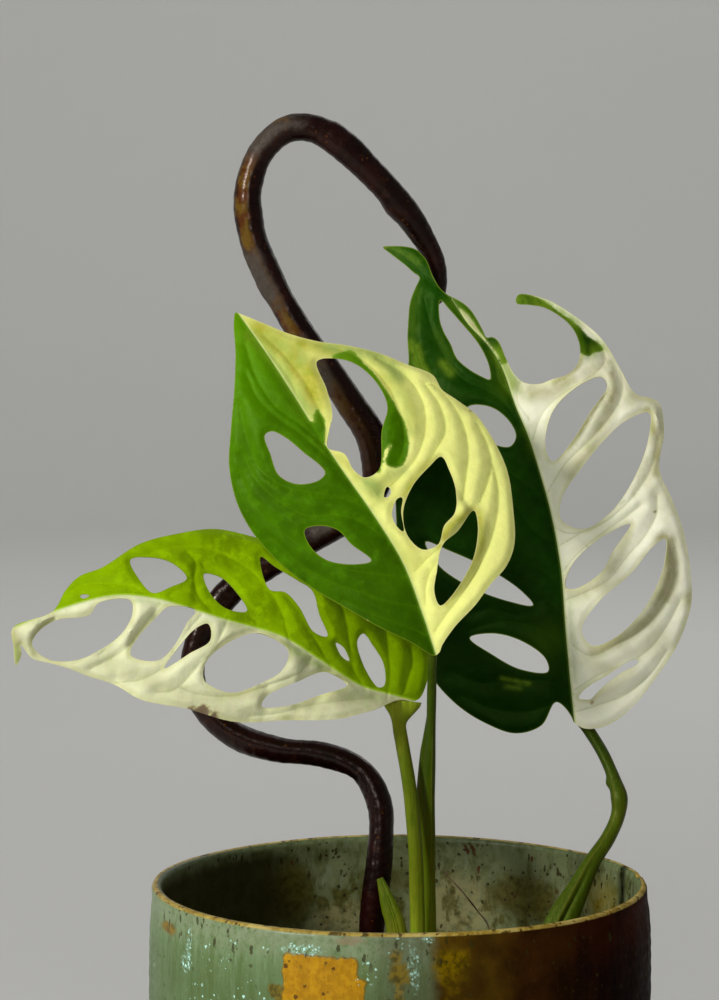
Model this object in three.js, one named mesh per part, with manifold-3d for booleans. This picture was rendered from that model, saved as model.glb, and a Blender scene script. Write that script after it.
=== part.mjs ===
// A variegated Monstera adansonii in a glazed pot, with a bent strand of glazed clay that stands behind its
// leaves as a support. Millimetres, +Z up, X to the right and Y to the back of the plant. The origin is the
// centre of the pot's flat underside.

import * as THREE from "three";
import { mergeVertices } from "three/addons/utils/BufferGeometryUtils.js";
import Module from "manifold-3d";

const wasm = await Module();
wasm.setup();

// Driving dimensions
const GAP = 0.3; // air kept between pieces that touch
const POT_HEIGHT = 140;
const RIM_RADIUS = 80; // outside of the lip
const BELLY_RADIUS = 81.3; // outside of the wall a little below the lip
const FOOT_RADIUS = 70;
const POT_WALL = 3.2;
const POT_FLOOR = 6;
const POT_SEGMENTS = 56;
const DRAIN_HOLES = 3;
const DRAIN_RADIUS = 4;
const DRAIN_RING = 28; // distance of the drain holes from the middle
const SOIL_LEVEL = 100;
const BLADE_THICKNESS = 0.8;
const RIB_DEPTH = 1.1; // how far a leaf's midrib stands out below its blade at the base
const RIB_HALF_WIDTH = 1.6;
const CREASE = 1.5; // half width over which a blade bends at its midrib
const EDGE_STEP = 3; // length of a blade's facets along its margins and holes
const FACE_STEP = 7.5; // spacing of the points inside a blade
const FIBRE_RADIUS = 0.45;

const vector = ([x, y, z]) => new THREE.Vector3(x, y, z);

// Solids

function toSolid(geometry) {
  const bare = geometry.clone();
  bare.deleteAttribute("normal");
  bare.deleteAttribute("uv");
  const merged = mergeVertices(bare, 1e-3);
  const vertProperties = merged.attributes.position.array;
  const triVerts = new Uint32Array(merged.index.array);
  return new wasm.Manifold(new wasm.Mesh({ numProp: 3, vertProperties, triVerts }));
}

function toGeometry(solid) {
  const { vertProperties, triVerts } = solid.getMesh();
  const geometry = new THREE.BufferGeometry();
  geometry.setAttribute("position", new THREE.BufferAttribute(vertProperties, 3));
  geometry.setIndex(new THREE.BufferAttribute(triVerts, 1));
  geometry.computeVertexNormals();
  return geometry;
}

// The largest body of a solid: crumbs that a cut leaves loose are dropped.
function largestBody(solid) {
  const bodies = solid.decompose();
  return bodies.reduce((best, body) => (body.volume() > best.volume() ? body : best));
}

function geometryOf(points, triangles) {
  const geometry = new THREE.BufferGeometry();
  geometry.setAttribute("position", new THREE.Float32BufferAttribute(points.flatMap((p) => p.toArray()), 3));
  geometry.setIndex(triangles.flat());
  geometry.computeVertexNormals();
  return geometry;
}

// A closed stalk along a curve. Each ring lies across the curve, with angle 0 to the right and a quarter turn
// to the back, and radiusAt(along, angle) gives its radius for along from 0 at the foot to 1 at the tip.
function stalk(route, radiusAt, steps, sides, grow = 0) {
  const path = new THREE.CatmullRomCurve3(route.map(vector), false, "centripetal");
  const back = new THREE.Vector3(0, 1, 0);
  const points = [];
  for (let step = 0; step <= steps; step++) {
    const along = step / steps;
    const centre = path.getPointAt(along);
    const tangent = path.getTangentAt(along);
    const right = new THREE.Vector3().crossVectors(back, tangent).normalize();
    const behind = new THREE.Vector3().crossVectors(tangent, right);
    const end = step === 0 ? -grow : step === steps ? grow : 0;
    centre.addScaledVector(tangent, end);
    for (let side = 0; side < sides; side++) {
      const angle = (2 * Math.PI * side) / sides;
      const radius = radiusAt(along, angle) + grow;
      const out = centre.clone().addScaledVector(right, radius * Math.cos(angle));
      points.push(out.addScaledVector(behind, radius * Math.sin(angle)));
    }
  }
  const foot = points.length;
  points.push(path.getPointAt(0).addScaledVector(path.getTangentAt(0), -grow));
  points.push(path.getPointAt(1).addScaledVector(path.getTangentAt(1), grow));
  const triangles = [];
  for (let side = 0; side < sides; side++) {
    const next = (side + 1) % sides;
    const top = steps * sides;
    for (let row = 0; row < top; row += sides) {
      triangles.push([row + side, row + next, row + sides + next]);
      triangles.push([row + side, row + sides + next, row + sides + side]);
    }
    triangles.push([foot, next, side]);
    triangles.push([foot + 1, top + side, top + next]);
  }
  return toSolid(geometryOf(points, triangles));
}

// A value read from a list of evenly spaced ones, for x from 0 to 1.
function between(values, x) {
  const place = THREE.MathUtils.clamp(x, 0, 1) * (values.length - 1);
  const low = Math.min(Math.floor(place), values.length - 2);
  return THREE.MathUtils.lerp(values[low], values[low + 1], place - low);
}

// How far an angle lies from a direction, as 1 on it and 0 well away from it.
function towards(angle, direction, width) {
  const apart = Math.atan2(Math.sin(angle - direction), Math.cos(angle - direction));
  return Math.exp(-((apart / width) ** 2));
}

// Radius of an ellipse at an angle, with its half widths across and from front to back.
const ellipse = (across, deep, angle) => 1 / Math.hypot(Math.cos(angle) / across, Math.sin(angle) / deep);

// Leaves
//
// A leaf is drawn flat and then bent. In its own frame a runs from the stalk to the tip, b to the left of the
// upper face and h out of that face. rib lists the midrib as [a, b, h]. left and right list the two margins
// from the tip down to the base, and each hole is a closed round of points. Beside the midrib the blade
// stands at fold * t + curl * t * t / 100 over it, where t is the distance from the midrib, and both are read
// along the midrib from base to tip, for the left side and the right side.

const LEAVES = {
  leaf_centre: {
    base: [11, -16, 216.5],
    tip: [-51.5, 14, 322],
    face: [0.1, -1, 0.1],
    colour: "#7d9a2c",
    rib: [
      [0, 0, 0], [12.5, -2.5, 2], [29, -5, 4], [46, -4.5, 6], [63, -3, 7], [78.5, -2, 7], [96, -1.5, 6],
      [109.5, -1, 4], [126.5, 0, 0],
    ],
    fold: { left: [0.25, 0.25, 0.2, 0.15, 0.1], right: [0.3, 0.25, 0.2, 0.15, 0.05] },
    curl: { left: [-1.2, -1.3, -1.1, -1, -0.8], right: [-0.9, -0.8, -0.6, -0.5, -0.4] },
    left: [
      [126.5, 0], [124.5, 3.5], [116, 7.5], [105, 14], [94, 21.5], [84.5, 27.5], [73.5, 31], [63.5, 31.5],
      [51.5, 29.5], [39.5, 25], [28, 19], [15.5, 12], [5.5, 5], [-1, 1],
    ],
    right: [
      [126.5, 0], [120.5, -5], [112.5, -10.5], [105.5, -17], [100, -24], [92.5, -32], [84, -39],
      [77.5, -44], [72, -44], [67, -46.5], [60.5, -49.5], [50.5, -50.5], [39.5, -49.5], [27, -44.5],
      [17, -39], [12, -33], [9.5, -26], [6, -18], [3.5, -9.5], [0.5, -3], [-1, -1],
    ],
    holes: [
      [[86.5, 13], [86.5, 10.5], [82, 7.5], [75, 5], [68.5, 2.5], [66, 2.5], [65, 5.5], [67.5, 12],
        [73, 15.5], [80, 14.5]],
      [[53.5, 17], [52, 12], [48, 8], [42, 6.5], [34.5, 3.5], [36, 8.5], [41.5, 15.5], [48, 18]],
      [[99.5, -13.5], [97, -19.5], [92, -24], [83.5, -26.5], [75, -25.5], [69, -20], [58.5, -13],
        [58.5, -8], [62.5, -6], [68.5, -6], [73, -2.5], [77.5, -5.5], [81.5, -9], [89.5, -11.5]],
      [[50, -10], [49.5, -11.5], [51, -13], [52.5, -12.5]],
      [[44, -9.5], [47.5, -13.5], [47, -15], [43.5, -12.5], [37.5, -10], [40, -9]],
      [[52.5, -32.5], [47.5, -32.5], [40.5, -31], [34.5, -27], [32.5, -22], [28.5, -17.5], [29.5, -12.5],
        [36, -10.5], [43, -13], [48.5, -19.5], [51.5, -27.5]],
      [[32.5, -33], [27.5, -31.5], [20, -26], [15.5, -20], [12, -12.5], [11.5, -8.5], [16, -9],
        [21.5, -13], [27.5, -18.5], [29, -25]],
    ],
  },
  leaf_left: {
    base: [-1.5, -6, 201],
    tip: [-120.5, -30, 226],
    face: [-0.05, -1, 0.25],
    colour: "#a9b84e",
    rib: [
      [0, 0, 0], [12, -1, 2], [26, -6, 5], [41, -11.5, 7], [60.5, -13.5, 8], [72.5, -15, 8], [84, -16, 7.5],
      [96.5, -14.5, 6], [113.5, -6.5, 3], [124, 0, 0],
    ],
    fold: { left: [1.2, 0.5, 0, -0.2, -0.3], right: [-0.2, -0.35, -0.4, -0.35, -0.3] },
    curl: { left: [-5, -2, -0.6, -0.4, -0.3], right: [-0.3, -0.3, -0.4, -0.5, -0.5] },
    left: [
      [121, 11.5], [120, 8], [121, 5], [116.5, 8.5], [111, 9], [105.5, 9.5], [97.5, 11], [90, 12],
      [81, 15.5], [67, 16], [50.5, 17.5], [35.5, 14.5], [19.5, 11.5], [8, 6.5], [-2, 1], [-6, 1],
    ],
    right: [
      [121, 11.5], [123, 6], [124.5, 0.5], [113.5, -6.5], [110.5, -14], [107, -19], [100.5, -23],
      [89.5, -33], [78.5, -38.5], [65.5, -43], [54, -43], [40.5, -41], [26.5, -36], [11.5, -29.5],
      [-1, -22.5], [-8.5, -18], [-10.5, -13], [-10.5, -6.5], [-8.5, -0.5], [-6, 1],
    ],
    holes: [
      [[92, -27], [86, -29], [79, -28.5], [73.5, -24.5], [78.5, -20.5], [84, -17.5], [88.5, -21]],
      [[68, -27], [62.5, -27], [58, -24], [53, -17.5], [60, -17], [65.5, -21]],
      [[50, -36.5], [45, -34], [37.5, -31], [32, -28.5], [29, -21], [25.5, -14.5], [30.5, -15], [36, -22],
        [41, -26], [46.5, -26]],
      [[22.5, -13], [19.5, -12], [17, -8], [20, -9]],
      [[15, -15], [13, -18], [9.5, -15], [5, -9.5], [4, -2.5], [6, -1.5], [11.5, -7]],
      [[117.5, 4.5], [116.5, 0.5], [112, -4], [102, -7.5], [100, -11.5], [90.5, -14], [89, -10],
        [91, -3.5], [97, 3], [103.5, 7], [111.5, 8]],
      [[87, 2.5], [85.5, -3.5], [81.5, -10], [78.5, -14], [69.5, -14.5], [71.5, -10.5], [74.5, -2],
        [78.5, 3]],
      [[76, 5], [72.5, -3], [68.5, -9], [65, -11], [63.5, -6], [69, -1]],
      [[63, 6.5], [63.5, 1], [58.5, -5.5], [49.5, -11], [42.5, -10], [38, -7], [39.5, -0.5], [46, 5],
        [53.5, 9], [60.5, 8]],
      [[43.5, 11.5], [42.5, 8], [33, 1.5], [24.5, -3], [16.5, -0.5], [26, 5], [35.5, 10]],
    ],
  },
  leaf_right: {
    base: [58.5, 31, 190],
    tip: [14.5, 52, 330],
    face: [-0.1, -1, 0.15],
    colour: "#8f9f80",
    rib: [
      [0, 0, 0], [14, -3, 2], [27.5, -6, 4], [46.5, -10.5, 6], [65.5, -13, 8], [77, -13.5, 9],
      [92, -13.5, 9], [103, -12.5, 8.5], [117.5, -11.5, 7], [125.5, -10, 6], [136, -5.5, 4.5],
      [148, 0, 2.5], [160, 4.5, -1], [169.5, 14.5, -6],
    ],
    fold: { left: [0.15, 0.15, 0.15, 0.1, 0.1], right: [0.25, 0.25, 0.2, 0.1, 0] },
    curl: { left: [-0.6, -0.6, -0.6, -0.6, -0.5], right: [-0.9, -0.8, -0.7, -0.6, -0.5] },
    left: [
      [169.5, 14.5], [163.5, 9.5], [155, 5], [146.5, 11], [139, 14.5], [128.5, 17.5], [117, 23.5],
      [101.5, 30.5], [85.5, 35.5], [66, 40.5], [45.5, 42.5], [27.5, 42.5], [14.5, 37], [5, 29], [-1, 20.5],
      [-1, 11.5], [5, 4.5], [0.5, 1.5], [-3, 1],
    ],
    right: [
      [169.5, 14.5], [167, 8], [160, 2], [149.5, -0.5], [138.5, -7.5], [129, -9.5], [124.5, -13],
      [118, -14], [111, -15.5], [108, -20], [107, -26.5], [107.5, -33], [111.5, -37.5], [118.5, -39.5],
      [126, -35], [132, -29.5], [136, -23], [138.5, -24.5], [134, -33], [127.5, -39], [116, -46.5],
      [103.5, -49.5], [95, -51.5], [90, -58], [80.5, -57], [68.5, -51.5], [58, -52.5], [47, -53], [32, -51],
      [22.5, -48], [11.5, -40], [2.5, -29], [-5, -17.5], [-7.5, -8], [-6, -1.5], [-3, 1],
    ],
    holes: [
      [[103.5, -42.5], [100, -43.5], [93.5, -36], [85, -26], [81.5, -18.5], [87.5, -18], [97, -23.5],
        [102, -32]],
      [[87.5, -54], [79, -51], [69, -43.5], [60, -32.5], [57, -21.5], [62.5, -15.5], [69, -18],
        [77.5, -28.5], [83, -37], [87, -45.5]],
      [[54, -37], [47, -28.5], [42, -23.5], [39, -13.5], [40.5, -10], [46.5, -14], [52, -24.5]],
      [[46, -46.5], [37, -43], [26, -33], [19.5, -20.5], [19.5, -12.5], [25.5, -11], [32.5, -19],
        [38.5, -32.5], [44.5, -41.5]],
      [[10.5, -25.5], [6.5, -18], [2.5, -6.5], [4.5, -3.5], [7.5, -6.5], [10.5, -18]],
      [[145, 1], [135, 3], [126, 2.5], [118, -1], [114.5, -6.5], [121.5, -8.5], [131, -6.5], [141, -3.5]],
      [[104, 6], [107.5, 2.5], [105, -4.5], [98.5, -9], [93, -9.5], [90.5, -6.5], [95, 0.5]],
      [[69, 30], [63.5, 23], [55, 13.5], [44, 4.5], [38, 2], [41.5, 9], [50, 20], [60, 28]],
      [[34, 25.5], [33, 17.5], [28, 9.5], [20, 3.5], [15.5, 4], [19, 12.5], [26.5, 20]],
    ],
  },
};

// Points at about even steps on a smooth curve through flat points.
function smooth(points, closed, step) {
  const lifted = points.map(([a, b]) => new THREE.Vector3(a, b, 0));
  const curve = new THREE.CatmullRomCurve3(lifted, closed, "centripetal");
  const count = Math.max(4, Math.round(curve.getLength() / step));
  const spaced = curve.getSpacedPoints(count).map((p) => [p.x, p.y]);
  return closed ? spaced.slice(0, -1) : spaced;
}

// The bent surface of a leaf: bend(a, b) gives the point, the direction out of the upper face, the distance t
// from the midrib and the place along it.
function bentSurface(leaf) {
  const base = vector(leaf.base);
  const alongAxis = vector(leaf.tip).sub(base).normalize();
  const outAxis = vector(leaf.face);
  outAxis.addScaledVector(alongAxis, -outAxis.dot(alongAxis)).normalize();
  const leftAxis = new THREE.Vector3().crossVectors(outAxis, alongAxis);
  const ribCurve = new THREE.CatmullRomCurve3(leaf.rib.map(vector), false, "centripetal");
  const ribSteps = 80;
  const rib = ribCurve.getPoints(ribSteps);
  const lengths = [0];
  for (let i = 1; i <= ribSteps; i++) {
    lengths.push(lengths[i - 1] + Math.hypot(rib[i].x - rib[i - 1].x, rib[i].y - rib[i - 1].y));
  }
  const ribLength = lengths[ribSteps];

  function nearest(a, b) {
    let best = { apart: Infinity };
    for (let i = 0; i < ribSteps; i++) {
      const da = rib[i + 1].x - rib[i].x;
      const db = rib[i + 1].y - rib[i].y;
      const ra = a - rib[i].x;
      const rb = b - rib[i].y;
      const first = i === 0 ? -Infinity : 0;
      const last = i === ribSteps - 1 ? Infinity : 1;
      const share = THREE.MathUtils.clamp((ra * da + rb * db) / (da * da + db * db), first, last);
      const apart = Math.hypot(ra - share * da, rb - share * db);
      if (apart < best.apart) {
        const height = rib[i].z + share * (rib[i + 1].z - rib[i].z);
        const along = (lengths[i] + share * Math.hypot(da, db)) / ribLength;
        best = { apart, along, height, side: da * rb - db * ra > 0 ? "left" : "right" };
      }
    }
    return best;
  }

  function height(a, b) {
    const { apart, along, height: ribHeight, side } = nearest(a, b);
    const rise = between(leaf.fold[side], along) * (Math.hypot(apart, CREASE) - CREASE);
    return ribHeight + rise + (between(leaf.curl[side], along) * apart * apart) / 100;
  }

  return function bend(a, b) {
    const nudge = 0.4;
    const h = height(a, b);
    const slopeA = (height(a + nudge, b) - height(a - nudge, b)) / (2 * nudge);
    const slopeB = (height(a, b + nudge) - height(a, b - nudge)) / (2 * nudge);
    const at = (x, y, z) =>
      new THREE.Vector3()
        .addScaledVector(alongAxis, x)
        .addScaledVector(leftAxis, y)
        .addScaledVector(outAxis, z);
    const { apart, along } = nearest(a, b);
    return { point: at(a, b, h).add(base), out: at(-slopeA, -slopeB, 1).normalize(), apart, along };
  };
}

// Delaunay triangles of flat points, by adding one point after another.
function delaunay(flatPoints) {
  const far = 1e4;
  const all = [...flatPoints, [-far, -far], [far, -far], [0, far]];
  const count = flatPoints.length;
  function withCircle(i, j, k) {
    const [[ax, ay], [bx, by], [cx, cy]] = [all[i], all[j], all[k]];
    const d = 2 * (ax * (by - cy) + bx * (cy - ay) + cx * (ay - by));
    const [a2, b2, c2] = [ax * ax + ay * ay, bx * bx + by * by, cx * cx + cy * cy];
    const x = (a2 * (by - cy) + b2 * (cy - ay) + c2 * (ay - by)) / d;
    const y = (a2 * (cx - bx) + b2 * (ax - cx) + c2 * (bx - ax)) / d;
    return { corners: [i, j, k], x, y, reach: Math.hypot(ax - x, ay - y) };
  }
  let found = [withCircle(count, count + 1, count + 2)];
  for (let i = 0; i < count; i++) {
    const rim = new Map();
    found = found.filter(({ corners, x, y, reach }) => {
      if (Math.hypot(all[i][0] - x, all[i][1] - y) >= reach) return true;
      corners.forEach((corner, turn) => {
        const next = corners[(turn + 1) % 3];
        if (!rim.delete(`${next},${corner}`)) rim.set(`${corner},${next}`, [corner, next]);
      });
      return false;
    });
    for (const [corner, next] of rim.values()) found.push(withCircle(corner, next, i));
  }
  return found.map(({ corners }) => corners).filter((corners) => corners.every((i) => i < count));
}

function isInside([x, y], loops) {
  let inside = false;
  for (const loop of loops) {
    loop.forEach(([x1, y1], i) => {
      const [x2, y2] = loop[(i + 1) % loop.length];
      if (y1 > y !== y2 > y && x < x1 + ((x2 - x1) * (y - y1)) / (y2 - y1)) inside = !inside;
    });
  }
  return inside;
}

const clearance = ([x, y], points) => Math.min(...points.map((p) => Math.hypot(p[0] - x, p[1] - y)));

// Triangles that fill the loops, with the inner points. A step of a loop that no triangle follows is halved
// and the filling starts again.
function fillLoops(loops, inner) {
  for (;;) {
    const points = [...loops.flat(), ...inner];
    const triangles = delaunay(points);
    const edges = new Set(triangles.flatMap(([i, j, k]) => [`${i},${j}`, `${j},${k}`, `${k},${i}`]));
    const steps = [];
    let first = 0;
    let complete = true;
    loops = loops.map((loop) => {
      const split = loop.flatMap((point, i) => {
        const next = (i + 1) % loop.length;
        steps.push([first + i, first + next]);
        const [from, to] = [first + i, first + next];
        if (edges.has(`${from},${to}`) || edges.has(`${to},${from}`)) return [point];
        complete = false;
        return [point, [(point[0] + loop[next][0]) / 2, (point[1] + loop[next][1]) / 2]];
      });
      first += loop.length;
      return split;
    });
    if (!complete) continue;
    const filled = triangles.filter((corners) => {
      const middle = [0, 1].map((axis) => corners.reduce((sum, i) => sum + points[i][axis], 0) / 3);
      return isInside(middle, loops);
    });
    return { points, filled, steps };
  }
}

// The points inside a blade: two rows beside the midrib, one on it, and a staggered grid over the rest.
function innerPoints(leaf, loops) {
  const margin = loops.flat();
  const ribCurve = new THREE.CatmullRomCurve3(leaf.rib.map(([a, b]) => new THREE.Vector3(a, b, 0)));
  const ribCount = Math.round(ribCurve.getLength() / 5);
  const rows = [];
  for (let i = 0; i <= ribCount; i++) {
    const { x, y } = ribCurve.getPointAt(i / ribCount);
    const tangent = ribCurve.getTangentAt(i / ribCount);
    for (const offset of [0, 2.4, -2.4]) {
      const point = [x - tangent.y * offset, y + tangent.x * offset];
      if (isInside(point, loops) && clearance(point, margin) > 1.2) rows.push(point);
    }
  }
  const inner = [...rows];
  const reach = 200;
  for (let row = 0, a = -20; a < reach; a += FACE_STEP * 0.87, row++) {
    for (let b = -60 + (row % 2) * FACE_STEP * 0.5; b < 60; b += FACE_STEP) {
      const point = [a + 0.3 * Math.sin(7 * b + row), b + 0.3 * Math.sin(5 * a)];
      const clear = clearance(point, margin) > 0.5 * FACE_STEP && clearance(point, rows) > 0.6 * FACE_STEP;
      if (isInside(point, loops) && clear) inner.push(point);
    }
  }
  return inner;
}

function leafGeometry(leaf) {
  const down = smooth(leaf.left, false, EDGE_STEP);
  const up = smooth(leaf.right, false, EDGE_STEP).reverse();
  const loops = [[...down.slice(0, -1), ...up.slice(0, -1)]];
  for (const hole of leaf.holes) loops.push(smooth(hole, true, EDGE_STEP));
  const { points, filled, steps } = fillLoops(loops, innerPoints(leaf, loops));
  const bend = bentSurface(leaf);
  const upper = [];
  const under = [];
  for (const [a, b] of points) {
    const { point, out, apart, along } = bend(a, b);
    const ribbed = RIB_DEPTH * Math.exp(-((apart / RIB_HALF_WIDTH) ** 2)) * (1 - 0.7 * along);
    upper.push(point.clone().addScaledVector(out, BLADE_THICKNESS / 2));
    under.push(point.clone().addScaledVector(out, -BLADE_THICKNESS / 2 - ribbed));
  }
  const turn = (i, j, k) => {
    const [[ax, ay], [bx, by], [cx, cy]] = [points[i], points[j], points[k]];
    return (bx - ax) * (cy - ay) - (by - ay) * (cx - ax) > 0 ? [i, j, k] : [i, k, j];
  };
  const count = points.length;
  const triangles = [];
  const ordered = filled.map(([i, j, k]) => turn(i, j, k));
  const used = new Set(ordered.flatMap(([i, j, k]) => [`${i},${j}`, `${j},${k}`, `${k},${i}`]));
  for (const [i, j, k] of ordered) triangles.push([i, j, k], [i + count, k + count, j + count]);
  for (const [from, to] of steps) {
    const [i, j] = used.has(`${from},${to}`) ? [from, to] : [to, from];
    triangles.push([j, i, i + count], [j, i + count, j + count]);
  }
  return geometryOf([...upper, ...under], triangles);
}

// Stems: the creeping stem, the three stalks with their sheaths and the old sheath grow as one piece.

function roundEnds(along, length, radius) {
  const fromEnd = Math.min(along, 1 - along) * length;
  const inset = THREE.MathUtils.clamp(1 - fromEnd / radius, 0, 1);
  return Math.max(0.15, Math.sqrt(1 - inset * inset));
}

const CENTRE_STALK = [
  [10.1, 4, 96], [10.1, 4, 123], [10, 3, 145.5], [9.9, -1, 166], [10.1, -6, 186.5], [10.2, -10, 203],
  [10.3, -14.5, 215.9],
];
const LEFT_STALK = [
  [6, -2.5, 96], [6.1, -3, 124.5], [6, -4, 150.5], [4.4, -4.5, 170], [1.6, -4.5, 185], [-1.6, -3.4, 197.3],
];
const RIGHT_STALK = [
  [43, -1, 96], [46.5, 1, 110], [52.6, 5, 124], [58, 9, 133.5], [63.5, 13, 143], [69.2, 17, 150.5],
  [72.6, 20, 157.5], [73, 21.5, 163.5], [69, 29, 175], [64.2, 34.6, 183], [59.8, 34.8, 189.5],
];
const OLD_SHEATH = [[0.5, 4, 96], [-1, 5, 123], [-3.9, 7, 132], [-6.2, 9, 138.5]];
const CREEPING_STEM = [[-16, 6, 95], [8, 1, 97.5], [44, -1, 97], [57, 4, 93]];

function stemsSolid(grow) {
  const toLeft = Math.PI;
  const centre = stalk(
    CENTRE_STALK,
    (along, angle) => {
      const wing = between([1.9, 1.9, 1.7, 1.4, 1.1, 0.5, 0, 0, 0, 0, 0], along);
      return between([2.3, 2, 1.7, 1.6, 1.5, 1.5], along) + wing * towards(angle, toLeft - 0.5, 0.35);
    },
    22, 14, grow,
  );
  const leftRadius = (along) => between([2.3, 2.1, 2.1, 2.1, 1.9, 1.9, 2.8], along);
  const left = stalk(LEFT_STALK, leftRadius, 20, 10, grow);
  const right = stalk(
    RIGHT_STALK,
    (along, angle) => {
      const half = between([4.6, 4.8, 4.4, 3.6, 2.8, 2.6, 2.6, 2.5, 2.4, 2.3, 2.5], along);
      const deep = between([2.6, 2.4, 2.2, 2.2, 2.3, 2.5, 2.5, 2.4, 2.3, 2.2, 2.2], along);
      const groove = between([1, 1, 1, 0.7, 0.3, 0, 0, 0, 0, 0, 0], along);
      return ellipse(half, deep, angle) - groove * towards(angle, 1.5 * Math.PI, 0.35);
    },
    34, 16, grow,
  );
  const sheath = stalk(
    OLD_SHEATH,
    (along, angle) => {
      const half = between([3.8, 3.8, 3.6, 3, 1.2], along);
      return ellipse(half, between([1.4, 1.3, 1.2, 1, 0.5], along), angle);
    },
    12, 10, grow,
  );
  const creeping = stalk(CREEPING_STEM, (along) => 5.2 * roundEnds(along, 75, 5), 26, 12, grow);
  return creeping.add(centre).add(left).add(right).add(sheath);
}

// The clay support: a strand that rises in an S behind the leaves and turns over in a loop.
const SUPPORT_ROUTE = [
  [-9.5, 15, 52], [-9.2, 15.5, 95], [-8.8, 16, 120.5], [-6.2, 18.5, 145], [-6.4, 21.5, 161],
  [-12.5, 25, 171.5], [-24.5, 29, 176], [-40.5, 32, 177.5], [-55, 35, 182], [-65.5, 37, 191.5],
  [-69, 38, 202.5], [-66.5, 39, 214.5], [-57, 40, 229], [-43, 41, 239], [-27, 42, 248], [-14, 42, 256],
  [-7.5, 42, 265], [-9, 42, 281], [-16, 42, 292.5], [-23.5, 42, 304], [-32, 43, 315.5], [-41, 44, 331],
  [-48.5, 45, 348], [-50.5, 46, 364], [-46.5, 46, 378.5], [-37, 46, 387], [-27.5, 47, 386.5],
  [-17.5, 48, 378.5], [-7.5, 50, 368], [0.5, 53, 358.5], [7, 57, 349], [12, 60.5, 341], [13.5, 63.5, 333],
  [12.5, 65, 325],
];
const SUPPORT_LENGTH = 640;

function supportSolid(grow) {
  const radiusAt = (along) => {
    const thick = between([3.6, 3.7, 4.2, 4.5, 4.3, 4.4, 4.4, 4.5, 4.8, 4.9, 4.8, 4.7, 4.6, 4.3, 3.2], along);
    return thick * roundEnds(along, SUPPORT_LENGTH, 4);
  };
  return stalk(SUPPORT_ROUTE, radiusAt, 84, 10, grow);
}

// One thin dry fibre that leans out of the soil against the wall.
const FIBRE_ROUTE = [
  [33, 6, 97], [29.2, 8, 123], [26.7, 11, 126], [23.6, 16, 129], [20.8, 22, 131.5], [16, 28.5, 135],
];

const fibreSolid = (grow) => stalk(FIBRE_ROUTE, () => FIBRE_RADIUS, 14, 6, grow);

// Pot

function lathe(profile, segments) {
  const geometry = new THREE.LatheGeometry(profile.map(([r, z]) => new THREE.Vector2(r, z)), segments);
  return geometry.rotateX(Math.PI / 2);
}

function innerRadius(z) {
  const wallTop = BELLY_RADIUS - POT_WALL - 0.9;
  const radii = [FOOT_RADIUS - POT_WALL - 2, wallTop - 4, wallTop - 1.5, wallTop - 0.4, wallTop];
  return between(radii, z / POT_HEIGHT);
}

function potSolid() {
  const lip = POT_WALL / 2;
  const outside = [
    [0, 0], [FOOT_RADIUS - 3, 0], [FOOT_RADIUS, 1.2], [FOOT_RADIUS + 2.2, 5], [FOOT_RADIUS + 5.4, 18],
    [FOOT_RADIUS + 8.2, 38], [BELLY_RADIUS - 1.1, 60], [BELLY_RADIUS - 0.2, 90], [BELLY_RADIUS, 115],
    [BELLY_RADIUS - 0.3, 128], [RIM_RADIUS + 0.1, POT_HEIGHT - 4],
  ];
  const lipArc = [];
  for (let i = 0; i <= 5; i++) {
    const turn = (Math.PI * i) / 5;
    lipArc.push([RIM_RADIUS - lip + lip * Math.cos(turn), POT_HEIGHT - lip + lip * Math.sin(turn)]);
  }
  const inside = [130, 100, 70, 40, 20].map((z) => [innerRadius(z), z]);
  const floor = [[innerRadius(10), 10], [innerRadius(POT_FLOOR) - 4, POT_FLOOR], [0, POT_FLOOR]];
  const body = toSolid(lathe([...outside, ...lipArc, ...inside, ...floor], POT_SEGMENTS));
  let drilled = body;
  for (let hole = 0; hole < DRAIN_HOLES; hole++) {
    const turn = (2 * Math.PI * (hole + 0.25)) / DRAIN_HOLES;
    const drill = new THREE.CylinderGeometry(DRAIN_RADIUS, DRAIN_RADIUS, 4 * POT_FLOOR, 16);
    drill.rotateX(Math.PI / 2).translate(DRAIN_RING * Math.cos(turn), DRAIN_RING * Math.sin(turn), 0);
    drilled = drilled.subtract(toSolid(drill));
  }
  return drilled;
}

// Soil: a plug of potting mix with a crumbly top, cut out round everything that stands in it.

function soilSolid() {
  const bottom = POT_FLOOR + GAP;
  const rings = 11;
  const topRadius = innerRadius(SOIL_LEVEL) - 2 * GAP;
  const profile = [[0, bottom], [innerRadius(10) - 6, bottom], [innerRadius(12) - 2 * GAP, 13]];
  for (const z of [40, 70]) profile.push([innerRadius(z) - 2 * GAP, z]);
  for (let ring = rings; ring >= 0; ring--) profile.push([(topRadius * ring) / rings, SOIL_LEVEL]);
  const geometry = lathe(profile, 36);
  const position = geometry.attributes.position;
  for (let i = 0; i < position.count; i++) {
    const [x, y, z] = [position.getX(i), position.getY(i), position.getZ(i)];
    if (z < SOIL_LEVEL - 1) continue;
    const crumbs = Math.sin(0.31 * x + 1.3) * Math.sin(0.27 * y) + Math.sin(0.47 * x - 0.39 * y + 2);
    const dish = 2.5 * (Math.hypot(x, y) / topRadius) ** 4;
    position.setZ(i, z + 1.1 * crumbs + dish - 1);
  }
  const standing = [stemsSolid(GAP), supportSolid(GAP), fibreSolid(GAP)];
  return largestBody(standing.reduce((plug, piece) => plug.subtract(piece), toSolid(geometry)));
}

// The scene

function addPiece(group, name, geometry, colour, roughness, metalness = 0) {
  const material = new THREE.MeshStandardMaterial({ color: colour, roughness, metalness });
  const mesh = new THREE.Mesh(geometry, material);
  mesh.name = name;
  group.add(mesh);
}

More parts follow.
